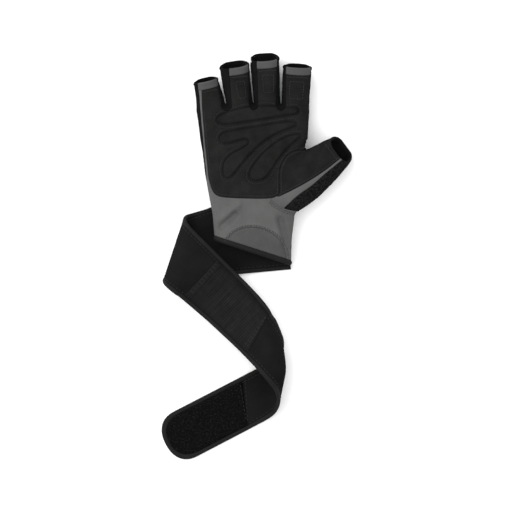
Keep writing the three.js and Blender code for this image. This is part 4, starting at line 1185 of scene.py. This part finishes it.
class Finish:
    """A material made of nodes, with its Principled shader as shader."""

    def __init__(self, name):
        self.material = bpy.data.materials.new(f"{name}_finish")
        self.material.use_nodes = True
        self.tree = self.material.node_tree
        self.shader = self.tree.nodes["Principled BSDF"]
        self.place = self.node("ShaderNodeTexCoord").outputs["Object"]

    def node(self, kind, settings=None, inputs=None):
        node = self.tree.nodes.new(kind)
        for name, value in (settings or {}).items():
            setattr(node, name, value)
        for name, value in (inputs or {}).items():
            self.put(node, name, value)
        return node

    def put(self, node, name, value):
        if isinstance(value, Value):
            value = value.socket
        if isinstance(value, bpy.types.NodeSocket):
            self.tree.links.new(value, node.inputs[name])
        else:
            node.inputs[name].default_value = value

    def turned(self, angle, scale=(1, 1, 1)):
        """The place, turned in plan and then stretched."""
        turn = self.node("ShaderNodeMapping", {"vector_type": "POINT"}, {
            "Vector": self.place, "Rotation": (0, 0, angle)})
        node = self.node("ShaderNodeMapping", {"vector_type": "POINT"}, {
            "Vector": turn.outputs["Vector"], "Scale": scale})
        return node.outputs["Vector"]

    def noise(self, scale, detail=2.0, rough=0.5, place=None):
        node = self.node("ShaderNodeTexNoise", None, {
            "Vector": place or self.place, "Scale": scale, "Detail": detail, "Roughness": rough})
        return Value(self, node.outputs["Fac"])

    def cells(self, scale):
        node = self.node("ShaderNodeTexVoronoi", {"feature": "F1"}, {
            "Vector": self.place, "Scale": scale})
        return Value(self, node.outputs["Distance"])

    def ribs(self, pitch, angle=0.0, axis=0):
        """Straight ribs of a pitch in metres, across a direction in plan, from 0 to 1."""
        node = self.node("ShaderNodeSeparateXYZ", None, {0: self.turned(angle)})
        along = Value(self, node.outputs[axis])
        return (along * (2 * math.pi / pitch)).sin() * 0.5 + 0.5

    def colour(self, base, low, high, share):
        """Mixes two shades of a base colour, each given as a multiple of it."""
        shades = [(*(min(1, c * times) for c in base), 1) for times in (low, high)]
        node = self.node("ShaderNodeMix", {"data_type": "RGBA"}, {
            0: share, 6: shades[0], 7: shades[1]})
        self.put(self.shader, "Base Color", node.outputs[2])

    def rough(self, value):
        self.put(self.shader, "Roughness", value)

    def relief(self, height, depth, strength):
        """Raises the surface by a height from 0 to 1 times depth in metres."""
        node = self.node("ShaderNodeBump", None, {
            "Strength": strength, "Distance": depth, "Height": height})
        self.put(self.shader, "Normal", node.outputs["Normal"])

    def shine(self, gloss, sheen=0.0, spread=0.5, tint=(1, 1, 1)):
        """Sets how much light the surface mirrors, and the glow of its nap at a slant."""
        self.put(self.shader, "Specular IOR Level", gloss)
        self.put(self.shader, "Sheen Weight", sheen)
        self.put(self.shader, "Sheen Roughness", spread)
        self.put(self.shader, "Sheen Tint", (*tint, 1))


def leather_look(finish, base):
    """Suede-like leather: short nap, soft mottling and faint rubbed patches."""
    nap, mottle = finish.noise(1500, 3, 0.6), finish.noise(90, 4, 0.6)
    patch, grain = finish.noise(28), finish.cells(620)
    finish.colour(base, 0.45, 1.6, nap * 0.9 + mottle * 0.9 + patch * 0.6 - 0.7)
    finish.rough(0.93 - patch * 0.18 - mottle * 0.08)
    finish.relief(nap * 0.5 + grain * 0.3 + mottle * 0.6, 0.0005, 0.5)
    finish.shine(0.0, 0.006, 0.55)


def knit_look(finish, base, pitch=0.0011, angle=0, depth=0.00018, contrast=0.3, sheen=0.03):
    """Fine stretch knit with faint wales and uneven dye."""
    angle = math.radians(angle)
    wale, course = finish.ribs(pitch, angle), finish.ribs(pitch * 0.8, angle, 1)
    fuzz, soft = finish.noise(1800, 2, 0.6), finish.noise(55, 3, 0.6)
    finish.colour(base, 1 - contrast, 1 + contrast,
                  wale * course * 0.35 + fuzz * 0.7 + soft * 0.8 - 0.4)
    finish.rough(0.96 - soft * 0.12)
    finish.relief(wale * 0.5 + course * 0.3 + fuzz * 0.5, depth, 0.6)
    finish.shine(0.0, sheen)


def towel_look(finish, base):
    """Towelling: dense small loops, with painted shade in the gaps between them."""
    loops, clumps = finish.cells(560), finish.noise(260, 3, 0.6)
    # painted shade: lighter on the loops' tops and darker in the low gaps between them, matching
    # the relief
    finish.colour(base, 1.9, 0.35, loops * 1.1 + clumps * 0.3 - 0.1)
    finish.rough(0.97 - clumps * 0.05)
    finish.relief(1 - loops + clumps * 0.6, 0.0012, 0.9)
    finish.shine(0.0, 0.008, 0.6)


def tape_look(finish, base):
    """Woven binding tape with a fine slanted twill."""
    twill = finish.ribs(0.0009, math.radians(38))
    weft = finish.ribs(0.0012, math.radians(-52))
    worn = finish.noise(120, 3, 0.6)
    finish.colour(base, 0.65, 1.45, twill * 0.45 + worn * 0.7 - 0.1)
    finish.rough(0.78 - worn * 0.2)
    finish.relief(twill * 0.6 + weft * 0.3, 0.00022, 0.7)
    finish.shine(0.05, 0.005, 0.4)


def strap_look(finish, base):
    """Brushed loop cloth on foam."""
    fuzz, soft = finish.noise(1300, 3, 0.7), finish.noise(40, 3, 0.55)
    finish.colour(base, 0.5, 1.6, fuzz * 0.9 + soft * 0.9 - 0.4)
    finish.rough(0.95 - soft * 0.1)
    finish.relief(fuzz, 0.00035, 0.7)
    finish.shine(0.0, 0.006)


def elastic_look(finish, base):
    """Ribbed elastic: fine cords across, streaked along by its rubber threads."""
    heading = math.radians(43)
    cords = finish.ribs(0.0021, heading)
    streak = finish.noise(260, 3, 0.7, finish.turned(heading, (0.1, 1, 1)))
    rib = finish.noise(420, 3, 0.7, finish.turned(heading, (1, 0.07, 1)))
    finish.colour(base, 0.4, 1.7, cords * 0.3 + streak * 0.5 + rib * 0.9 - 0.4)
    finish.rough(0.72 - streak * 0.15)
    finish.relief(cords * 0.7 + rib * 0.5, 0.0003, 0.8)
    finish.shine(0.015, 0.005, 0.4, (0.9, 0.93, 1))


def hook_look(finish, base):
    """Hook tape: tiny stiff hooks, with specks of painted highlight as glints, glossier there."""
    hooks, clump = finish.cells(1300), finish.noise(760, 3, 0.75)
    # painted highlight: sparse specks several times lighter than the tape stand in for glints; the
    # same specks are also less rough
    painted_glint_and_gloss = clump.between(0.52, 0.72)
    finish.colour(base, 0.45, 3.6, painted_glint_and_gloss * (1.3 - hooks))
    finish.rough(0.75 - painted_glint_and_gloss * 0.3)
    finish.relief(1 - hooks + clump, 0.0007, 0.9)
    finish.shine(0.01)


def thread_look(finish, base):
    """Waxed sewing thread with its twist."""
    twist, soft = finish.ribs(0.0005, math.radians(30)), finish.noise(200)
    finish.colour(base, 0.7, 1.35, twist * 0.5 + soft * 0.5)
    finish.rough(0.6 - soft * 0.1)
    finish.relief(twist, 0.0001, 0.5)
    finish.shine(0.06)


def floor_finish():
    """Plain pale studio paper."""
    finish = Finish("studio_paper")
    grain = finish.noise(400)
    finish.colour((1, 1, 1), 0.96, 0.98, grain)
    finish.rough(0.9 - grain * 0.02)
    finish.shine(0.0)
    return finish.material


# Each finish: its colour among the colours, its look and what sets it apart
LOOKS = {
    "leather": ("leather", leather_look, {}),
    "grey_fabric": ("grey", knit_look, {}),
    "moon_fabric": ("moon", knit_look, dict(pitch=0.0016, angle=-17, depth=0.0004)),
    "band_fabric": ("band", knit_look, dict(contrast=0.2)),
    "stretch_fabric": ("stretch", knit_look, dict(sheen=0.01)),
    "towelling": ("towel", towel_look, {}),
    "binding_tape": ("binding", tape_look, {}),
    "strap_fabric": ("strap", strap_look, {}),
    "elastic": ("elastic", elastic_look, {}),
    "hook_tape": ("hook", hook_look, {}),
    "thread": ("thread", thread_look, {}),
}


# What the operators share: forms and finishes, each made once, and the shapes by their nodes

shapes = {}


@cache
def glove():
    scene = bpy.context.scene
    return Glove(scene.glove_sizes, scene.strap_sizes)


@cache
def strap():
    return Strap(bpy.context.scene.strap_sizes, glove())


@cache
def shift():
    """From the glove's own plan to the frame, in mm, by the knuckle pad's place in both."""
    low = glove().pads["knuckle_pad"].min(axis=0)
    return np.array([*(np.array(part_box("knuckle_pad")[0])[:2] * 1000 - low), 0.0])


@cache
def finish(name):
    colour, look, settings = LOOKS[name]
    new = Finish(name)
    look(new, tuple(getattr(bpy.context.scene.glove_colours, colour)), **settings)
    return new.material


def piece(name, shape, slot, node=None, look=None):
    """Makes a piece from points in mm and triangles, and fits it to the frame."""
    points, faces = shape
    if not len(faces):
        raise RuntimeError(f"{name} came out empty")
    mesh = bpy.data.meshes.new(name)
    mesh.vertices.add(len(points))
    mesh.vertices.foreach_set("co", ((points + shift()) * 0.001).astype(np.float32).ravel())
    mesh.loops.add(len(faces) * 3)
    mesh.loops.foreach_set("vertex_index", faces.astype(np.int32).ravel())
    mesh.polygons.add(len(faces))
    mesh.polygons.foreach_set("loop_start", np.arange(0, len(faces) * 3, 3, dtype=np.int32))
    mesh.polygons.foreach_set("use_smooth", np.ones(len(faces), bool))
    mesh.update(calc_edges=True)
    mesh.validate()
    thing = bpy.data.objects.new(name, mesh)
    bpy.context.collection.objects.link(thing)
    mesh.materials.append(finish(look or slot))
    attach(thing, "root")
    if node:
        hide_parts(node)
        shapes[node] = shape
    return thing


def cloth(node, kind, sheet, height, slot, extra=0.0, bulge=0.2):
    """The piece of a sheet raised by height over the skin, thicker than the wall by extra."""
    shape = thick(sheet, height, glove().wall + extra, bulge)
    return piece(f"{node}_{kind}", shape, slot, node)


def folded(points, folds):
    """Height of a set of folds over points seen from above."""
    return sum(height * bump(line_distance(points, [start, end]), 0, half)
               for start, end, height, half in folds)


def bump(value, middle, half):
    """A bell-shaped swell of 1 about a middle."""
    return np.exp(-(((value - middle) / half) ** 2))


def rolled_rim(sheet, reach=1.5, drop=0.5):
    """How far a sheet's face sinks towards its rim."""
    return -drop * np.clip(1 - from_rim(sheet) / reach, 0, 1) ** 2


def surface(*nodes):
    """A surface that lines can be laid on, of the shapes of several pieces."""
    points, faces, start = [], [], 0
    for p, f in (shapes[node] for node in nodes):
        points += p.tolist()
        faces += (f + start).tolist()
        start += len(p)
    return BVHTree.FromPolygons(points, faces)


@cache
def halves():
    """The open glove cut along its seam into palm side and back."""
    g = glove()
    sheet = cut(g.skin, g.past_opening(g.skin[0]))
    sheet = cut(sheet, g.above_cuff(sheet[0]))
    over = sheet[0][:, 2] - g.seam(sheet[0])
    return cut(sheet, 0.1 - over), cut(sheet, over + 0.1)


def take(sheet, values, gap=0.15):
    """Splits a sheet into the part where values are negative and the rest, with a gap."""
    return cut(sheet, values + gap), cut(sheet, gap - values)


@cache
def panels():
    """The palm side's panels as bare sheets."""
    g = glove()
    rest, _ = halves()
    out = {}

    def within(line):
        return outline_distance(rest[0], line)

    for left, right in zip(g.fingers, g.fingers[1:]):
        name = f"fourchette_{left['name']}_{right['name']}"
        out[name], rest = take(rest, within(g.gusset_line(left, right)))
    for k, finger in enumerate(g.fingers):
        past = np.where(g.which_finger(rest[0]) == k,
                        -g.finger_open(finger, rest[0]) - g.band, 9)
        out[f"finger_band_{finger['name']}"], rest = take(rest, past)
    out["palm_leather"], rest = take(rest, within(g.leather_line()))
    foot = g.plan(THUMB_FOOT, count=30)
    outside = np.vstack([foot, [g.width, foot[-1][1]], [g.width, FAR], [foot[0][0], FAR]])
    thumb, rest = take(rest, within(outside))
    upper, lower = g.strip_line(STRIP_UPPER), g.strip_line(STRIP_LOWER)
    above = np.vstack([upper, g.thumb_open + g.thumb_width, [0, FAR], [-FAR, FAR],
                       [-FAR, upper[0][1]]])
    below = np.vstack([lower, [FAR, g.thumb_open[1]], [FAR, -FAR], [lower[0][0], -FAR]])
    out["thumb_leather"], other = take(thumb, outline_distance(thumb[0], above))
    out["thumb_towel_panel"], out["thumb_side_strip"] = take(
        other, outline_distance(other[0], below))
    out["wrist_hem"], rest = take(rest, -g.above_cuff(rest[0]) - g.wrist_hem)
    out["half_moon_insert"], out["wrist_cuff"] = take(rest, within(g.moon_line()))
    return out


# Pieces

class GLOVE_OT_leather(bpy.types.Operator):
    """Sew the suede-like leather of the palm and the thumb."""

    bl_idname = "glove.leather"
    bl_label = "Leather"

    def execute(self, context):
        g, parts = glove(), panels()
        sheet = parts["palm_leather"]
        points = sheet[0]
        away = np.min([outline_distance(points, line) for line in g.pads.values()], axis=0)
        round_pad = 0.35 * bump(away, 1.9, 0.6) - 0.3 * bump(away, 3.0, 0.7)
        height = np.where(away < 0, -0.75, -0.9 * bump(away, 0, 0.7))
        height += np.where(away > 0, round_pad, 0) + folded(points, PALM_FOLDS)
        edge = line_distance(points, g.plan(LEATHER_EDGE, count=60))
        height -= 0.3 * bump(edge, 2.6, 0.7) * (points[:, 1] < g.length * 1.1)
        height += 0.16 * ripple(points, 17, 4) + 0.06 * ripple(points, 6, 5)
        cloth("palm_leather", "skin", sheet, height + rolled_rim(sheet), "leather")
        sheet = parts["thumb_leather"]
        points = sheet[0]
        seam = line_distance(points, g.plan(THUMB_SEAM, count=40))
        height = folded(points, THUMB_FOLDS) + 0.18 * ripple(points, 15, 8)
        height += 0.06 * ripple(points, 5, 9) + rolled_rim(sheet, 1.8, 0.6)
        cloth("thumb_leather", "skin", sheet, height + 0.3 * bump(seam, 1.6, 0.9), "leather")
        return {"FINISHED"}


class GLOVE_OT_pads(bpy.types.Operator):
    """Raise the three pads on the palm."""

    bl_idname = "glove.pads"
    bl_label = "Palm pads"

    def execute(self, context):
        g = glove()
        base = panels()["palm_leather"]
        for name, line in g.pads.items():
            sheet = cut(base, outline_distance(base[0], line) + 0.1)
            crown = 1 - np.clip(1 - from_rim(sheet) / 1.6, 0, 1) ** 2.2
            height = -0.5 + (g.pad + 0.3) * crown + 0.1 * ripple(sheet[0], 9, 12)
            shape = thick(sheet, height, PAD_FOOT, 0.05)
            piece(f"{name}_skin", shape, "leather", name)
        return {"FINISHED"}


class GLOVE_OT_cuff(bpy.types.Operator):
    """Cut the grey cuff with its half-moon and hem, and the thumb's strip."""

    bl_idname = "glove.cuff"
    bl_label = "Cuff"

    def execute(self, context):
        parts = panels()
        for name, slot in (("wrist_cuff", "grey_fabric"), ("half_moon_insert", "moon_fabric")):
            sheet = parts[name]
            height = folded(sheet[0], CUFF_FOLDS) + 0.16 * ripple(sheet[0], 21, 21)
            cloth(name, "cloth", sheet, height + rolled_rim(sheet, 1.2, 0.4), slot)
        sheet = parts["thumb_side_strip"]
        cloth("thumb_side_strip", "cloth", sheet, rolled_rim(sheet, 1.2, 0.3), "grey_fabric")
        sheet = parts["wrist_hem"]
        height = 0.9 + rolled_rim(sheet, 1.9, 1.2) + folded(sheet[0], CUFF_FOLDS)
        cloth("wrist_hem", "tape", sheet, height, "binding_tape", 0.4, 0.5)
        return {"FINISHED"}


class GLOVE_OT_back(bpy.types.Operator):
    """Close the back of the hand and roll the hems of the openings."""

    bl_idname = "glove.back"
    bl_label = "Back and hems"

    def execute(self, context):
        g = glove()
        _, rest = halves()
        for k, finger in enumerate([*g.fingers, None]):
            points = rest[0]
            past = g.finger_open(finger, points) if finger else g.thumb_end(points)
            name = f"finger_hem_{finger['name']}" if finger else "thumb_hem"
            here = g.which_finger(points) == k
            hem, rest = take(rest, np.where(here, -past - g.hem, 9))
            cloth(name, "roll", hem, 0.35 + rolled_rim(hem, 1.2), "stretch_fabric", 0.3, 0.5)
        height = rolled_rim(rest, 1.5, 0.3)
        height += 0.12 * ripple(rest[0], 18, 31) * ease(rest[0][:, 2], 1, 5)
        cloth("back_panel", "cloth", rest, height, "stretch_fabric")
        return {"FINISHED"}


class GLOVE_OT_fingers(bpy.types.Operator):
    """Set the black gussets between the fingers and the grey bands on their fronts."""

    bl_idname = "glove.fingers"
    bl_label = "Gussets and bands"

    def execute(self, context):
        for name, sheet in panels().items():
            if name.startswith("fourchette"):
                height = -0.25 + rolled_rim(sheet, 1.2, 0.35) + 0.1 * ripple(sheet[0], 8, 41)
                cloth(name, "cloth", sheet, height, "stretch_fabric")
            elif name.startswith("finger_band"):
                height = 0.25 + rolled_rim(sheet, 1.0, 0.35)
                cloth(name, "cloth", sheet, height, "band_fabric", bulge=0.35)
        return {"FINISHED"}


class GLOVE_OT_thumb(bpy.types.Operator):
    """Set the towelling panel down the side of the thumb."""

    bl_idname = "glove.thumb"
    bl_label = "Towelling"

    def execute(self, context):
        sheet = panels()["thumb_towel_panel"]
        height = 0.3 + rolled_rim(sheet, 2.0, 0.7)
        loops = np.random.default_rng(7).uniform(-0.16, 0.16, len(height))
        height += loops + 0.12 * ripple(sheet[0], 5, 51)
        shape = thick(sheet, height, glove().wall)
        piece("thumb_towel_loops", shape, "towelling", "thumb_towel_panel")
        return {"FINISHED"}


class GLOVE_OT_strap(bpy.types.Operator):
    """Lay the wrist strap with its binding, elastic and hook pad."""

    bl_idname = "glove.strap"
    bl_label = "Strap"

    def execute(self, context):
        s = strap()
        inset, half = s.border + 0.1, s.thickness / 2

        def band(u, share):
            level = half - BAND_SWELL * np.abs(share) ** 6
            return level, -level

        def elastic(u, share):
            end = np.minimum(u - s.webbing[0], s.webbing[1] - u)
            rib = 0.12 * np.sin((u - s.webbing[0]) * 2 * math.pi / RIB_PITCH)
            body = 0.9 * np.clip(end, 0.35, 1) + rib * ease(end, 0.5, 2)
            edge = 1 - 0.5 * np.abs(share) ** 10
            return np.full(len(u), -half - 0.02), -(half + 0.25 + body * edge)

        def hooks(u, share):
            edge = np.minimum(np.minimum(u - s.hook[0], s.hook[1] - u),
                              (1 - np.abs(share)) * s.half(u, inset))
            top = half + 0.2 + 1.1 * np.clip(edge / 1.2, 0.2, 1) ** 0.5
            return top, np.full(len(u), half + 0.02)

        into = s.border - 0.9  # the band runs on under its binding
        rows = s.rows(0, s.end - into - 0.02, STRAP_STEP)
        piece("strap_band_cloth", s.strip(rows, into, band, 17), "strap_fabric", "strap_band")
        piece("strap_binding_tape", tube(s.border_rings()), "binding_tape", "strap_binding")
        count = int((s.webbing[1] - s.webbing[0]) / (RIB_PITCH / 4)) + 1
        shape = s.strip(np.linspace(*s.webbing, count), inset, elastic, 9)
        piece("elastic_webbing_ribs", shape, "elastic", "elastic_webbing")
        rows = s.rows(s.hook[0], s.hook[1] - 0.02, STRAP_STEP)
        piece("hook_pad_tape", s.strip(rows, inset, hooks, 21), "hook_tape", "hook_pad")
        return {"FINISHED"}


class GLOVE_OT_stitching(bpy.types.Operator):
    """Sew the seams of the glove and the strap."""

    bl_idname = "glove.stitching"
    bl_label = "Stitching"

    def execute(self, context):
        g, s = glove(), strap()
        palm = surface("palm_leather", "thumb_leather")
        rows = []
        for line in g.pads.values():
            closed = np.vstack([line, line[:1]])
            turn = np.sum((closed[1:, 0] - closed[:-1, 0]) * (closed[1:, 1] + closed[:-1, 1]))
            ring = even(moved_line(closed, 3.0 if turn > 0 else -3.0), 140)
            clear = outline_distance(ring, line) > 2.5
            breaks = np.flatnonzero(clear[1:] != clear[:-1]) + 1
            for run, whole in zip(np.split(ring, breaks), np.split(clear, breaks)):
                if whole[0] and len(run) > 3:
                    rows += seamed(palm, run, 1.2, 0.9, 0.4)
        edge, seam = g.plan(LEATHER_EDGE, count=90), g.plan(THUMB_SEAM, count=60)
        rows += seamed(palm, moved_line(edge, 2.4)[12:], 1.3, 0.7, 0.4)
        rows += seamed(palm, moved_line(seam, 1.5), 1.3, 0.7, 0.5)
        rows += seamed(palm, moved_line(seam, -1.6), 1.3, 0.7, 0.4)
        for finger in g.fingers:
            rows += finger_stitches(palm, g, finger)
        rim = [g.thumb_plan(-0.14, -0.2), g.thumb_plan(-0.14, 0.45)]
        for line in (moved_line(g.strip_line(STRIP_UPPER), 1.9), rim):
            rows += seamed(palm, line, 1.4, 0.5, 0.5)
        piece("leather_stitching", thread(rows, THICK_THREAD), "binding_tape", look="thread")

        grey = surface("wrist_cuff", "half_moon_insert", "wrist_hem")
        moon, foot = g.moon_line(), g.plan(THUMB_FOOT, count=40)
        rows = []
        for line, length, gap, weave in (
            (moved_line(moon, -0.6)[6:-6], 1.6, 0.4, 0.8),
            (moved_line(moon, -1.8)[6:-6], 1.8, 0.7, 0),
            (moved_line(foot, -1.6), 1.6, 0.5, 0.7),
            (moved_line(foot, -3.2), 1.6, 0.9, 0),
        ):
            rows += seamed(grey, line, length, gap, weave)
        piece("cuff_stitching", thread(rows, THIN_THREAD), "binding_tape", look="thread")

        rows = []
        level = s.thickness / 2
        u = np.arange(3, s.end - s.round, 0.5)
        for side in (-1, 1):
            for face in (-1, 1):
                rows += strap_stitches(s, u, side * s.half(u, s.border + 1.1), face, level)
        start, end = s.webbing
        for u, face, over in ((start + 1.6, -1, 1.15), (start + 3.2, -1, 1.15),
                              (end - 1.6, -1, 1.15), (end - 3.2, -1, 1.15),
                              (s.hook[0] + 1.4, 1, 1.2), (s.hook[0] - 1.6, 1, 0)):
            reach = float(s.half(u, s.border + 1.6))
            v = np.arange(-reach, reach, 0.5)
            rows += strap_stitches(s, np.full(len(v), u), v, face, level + over)
        piece("strap_stitching", thread(rows, THIN_THREAD), "binding_tape", look="thread")
        return {"FINISHED"}


class GLOVE_OT_stage(bpy.types.Operator):
    """Set the pale floor, the soft lights and the camera straight above."""

    bl_idname = "glove.stage"
    bl_label = "Stage"

    def execute(self, context):
        def put(name, data, place):
            thing = bpy.data.objects.new(name, data)
            thing.location = place
            context.collection.objects.link(thing)
            return thing

        mesh = bpy.data.meshes.new("floor")
        corners = [(x * 1.6, y * 1.6, -0.0004) for x, y in ((-1, -1), (1, -1), (1, 1), (-1, 1))]
        mesh.from_pydata(corners, [], [(0, 1, 2, 3)])
        mesh.materials.append(floor_finish())
        put("floor", mesh, (0, 0, 0))
        world = bpy.data.worlds.new("studio")
        world.use_nodes = True
        sky = world.node_tree.nodes["Background"].inputs
        sky["Color"].default_value, sky["Strength"].default_value = (1, 1, 1, 1), 1.0
        context.scene.world = world
        context.scene.view_settings.view_transform = "Standard"
        for name, place, power, wide in LIGHTS:
            light = bpy.data.lights.new(name, "AREA")
            light.energy, light.size = power, wide
            lamp = put(name, light, place)
            lamp.rotation_euler = (-Vector(place)).to_track_quat("-Z", "Y").to_euler()
        camera = bpy.data.cameras.new("camera")
        camera.sensor_width, camera.clip_end = 36, 20
        camera.lens = 36 * EYE_HEIGHT / (512 * PIXEL)
        aim = shift() * 0.001 + AIM
        context.scene.camera = put("camera", camera, (aim[0], aim[1], EYE_HEIGHT))
        return {"FINISHED"}


class GLOVE_PT_panel(bpy.types.Panel):
    """Sizes, colours and steps of the glove."""

    bl_idname = "GLOVE_PT_panel"
    bl_label = "Weightlifting glove"
    bl_space_type = "VIEW_3D"
    bl_region_type = "UI"
    bl_category = "Glove"

    def draw(self, context):
        for name in GROUPS:
            box = self.layout.box()
            group = getattr(context.scene, name)
            for setting in group.__annotations__:
                box.prop(group, setting)
        for step in STEPS:
            self.layout.operator(step.bl_idname)


GROUPS = {"glove_sizes": GloveSizes, "strap_sizes": StrapSizes, "glove_colours": GloveColours}
STEPS = (GLOVE_OT_stage, GLOVE_OT_leather, GLOVE_OT_pads, GLOVE_OT_cuff, GLOVE_OT_back,
         GLOVE_OT_fingers, GLOVE_OT_thumb, GLOVE_OT_strap, GLOVE_OT_stitching)
CLASSES = (*GROUPS.values(), *STEPS, GLOVE_PT_panel)


def register():
    for cls in CLASSES:
        bpy.utils.register_class(cls)
    for name, group in GROUPS.items():
        setattr(bpy.types.Scene, name, bpy.props.PointerProperty(type=group))


def unregister():
    for name in GROUPS:
        delattr(bpy.types.Scene, name)
    for cls in reversed(CLASSES):
        bpy.utils.unregister_class(cls)


def main():
    register()
    bpy.ops.glove.stage()
    bpy.ops.glove.leather()
    bpy.ops.glove.pads()
    bpy.ops.glove.cuff()
    bpy.ops.glove.back()
    bpy.ops.glove.fingers()
    bpy.ops.glove.thumb()
    bpy.ops.glove.strap()
    bpy.ops.glove.stitching()


if __name__ == "__main__":
    main()
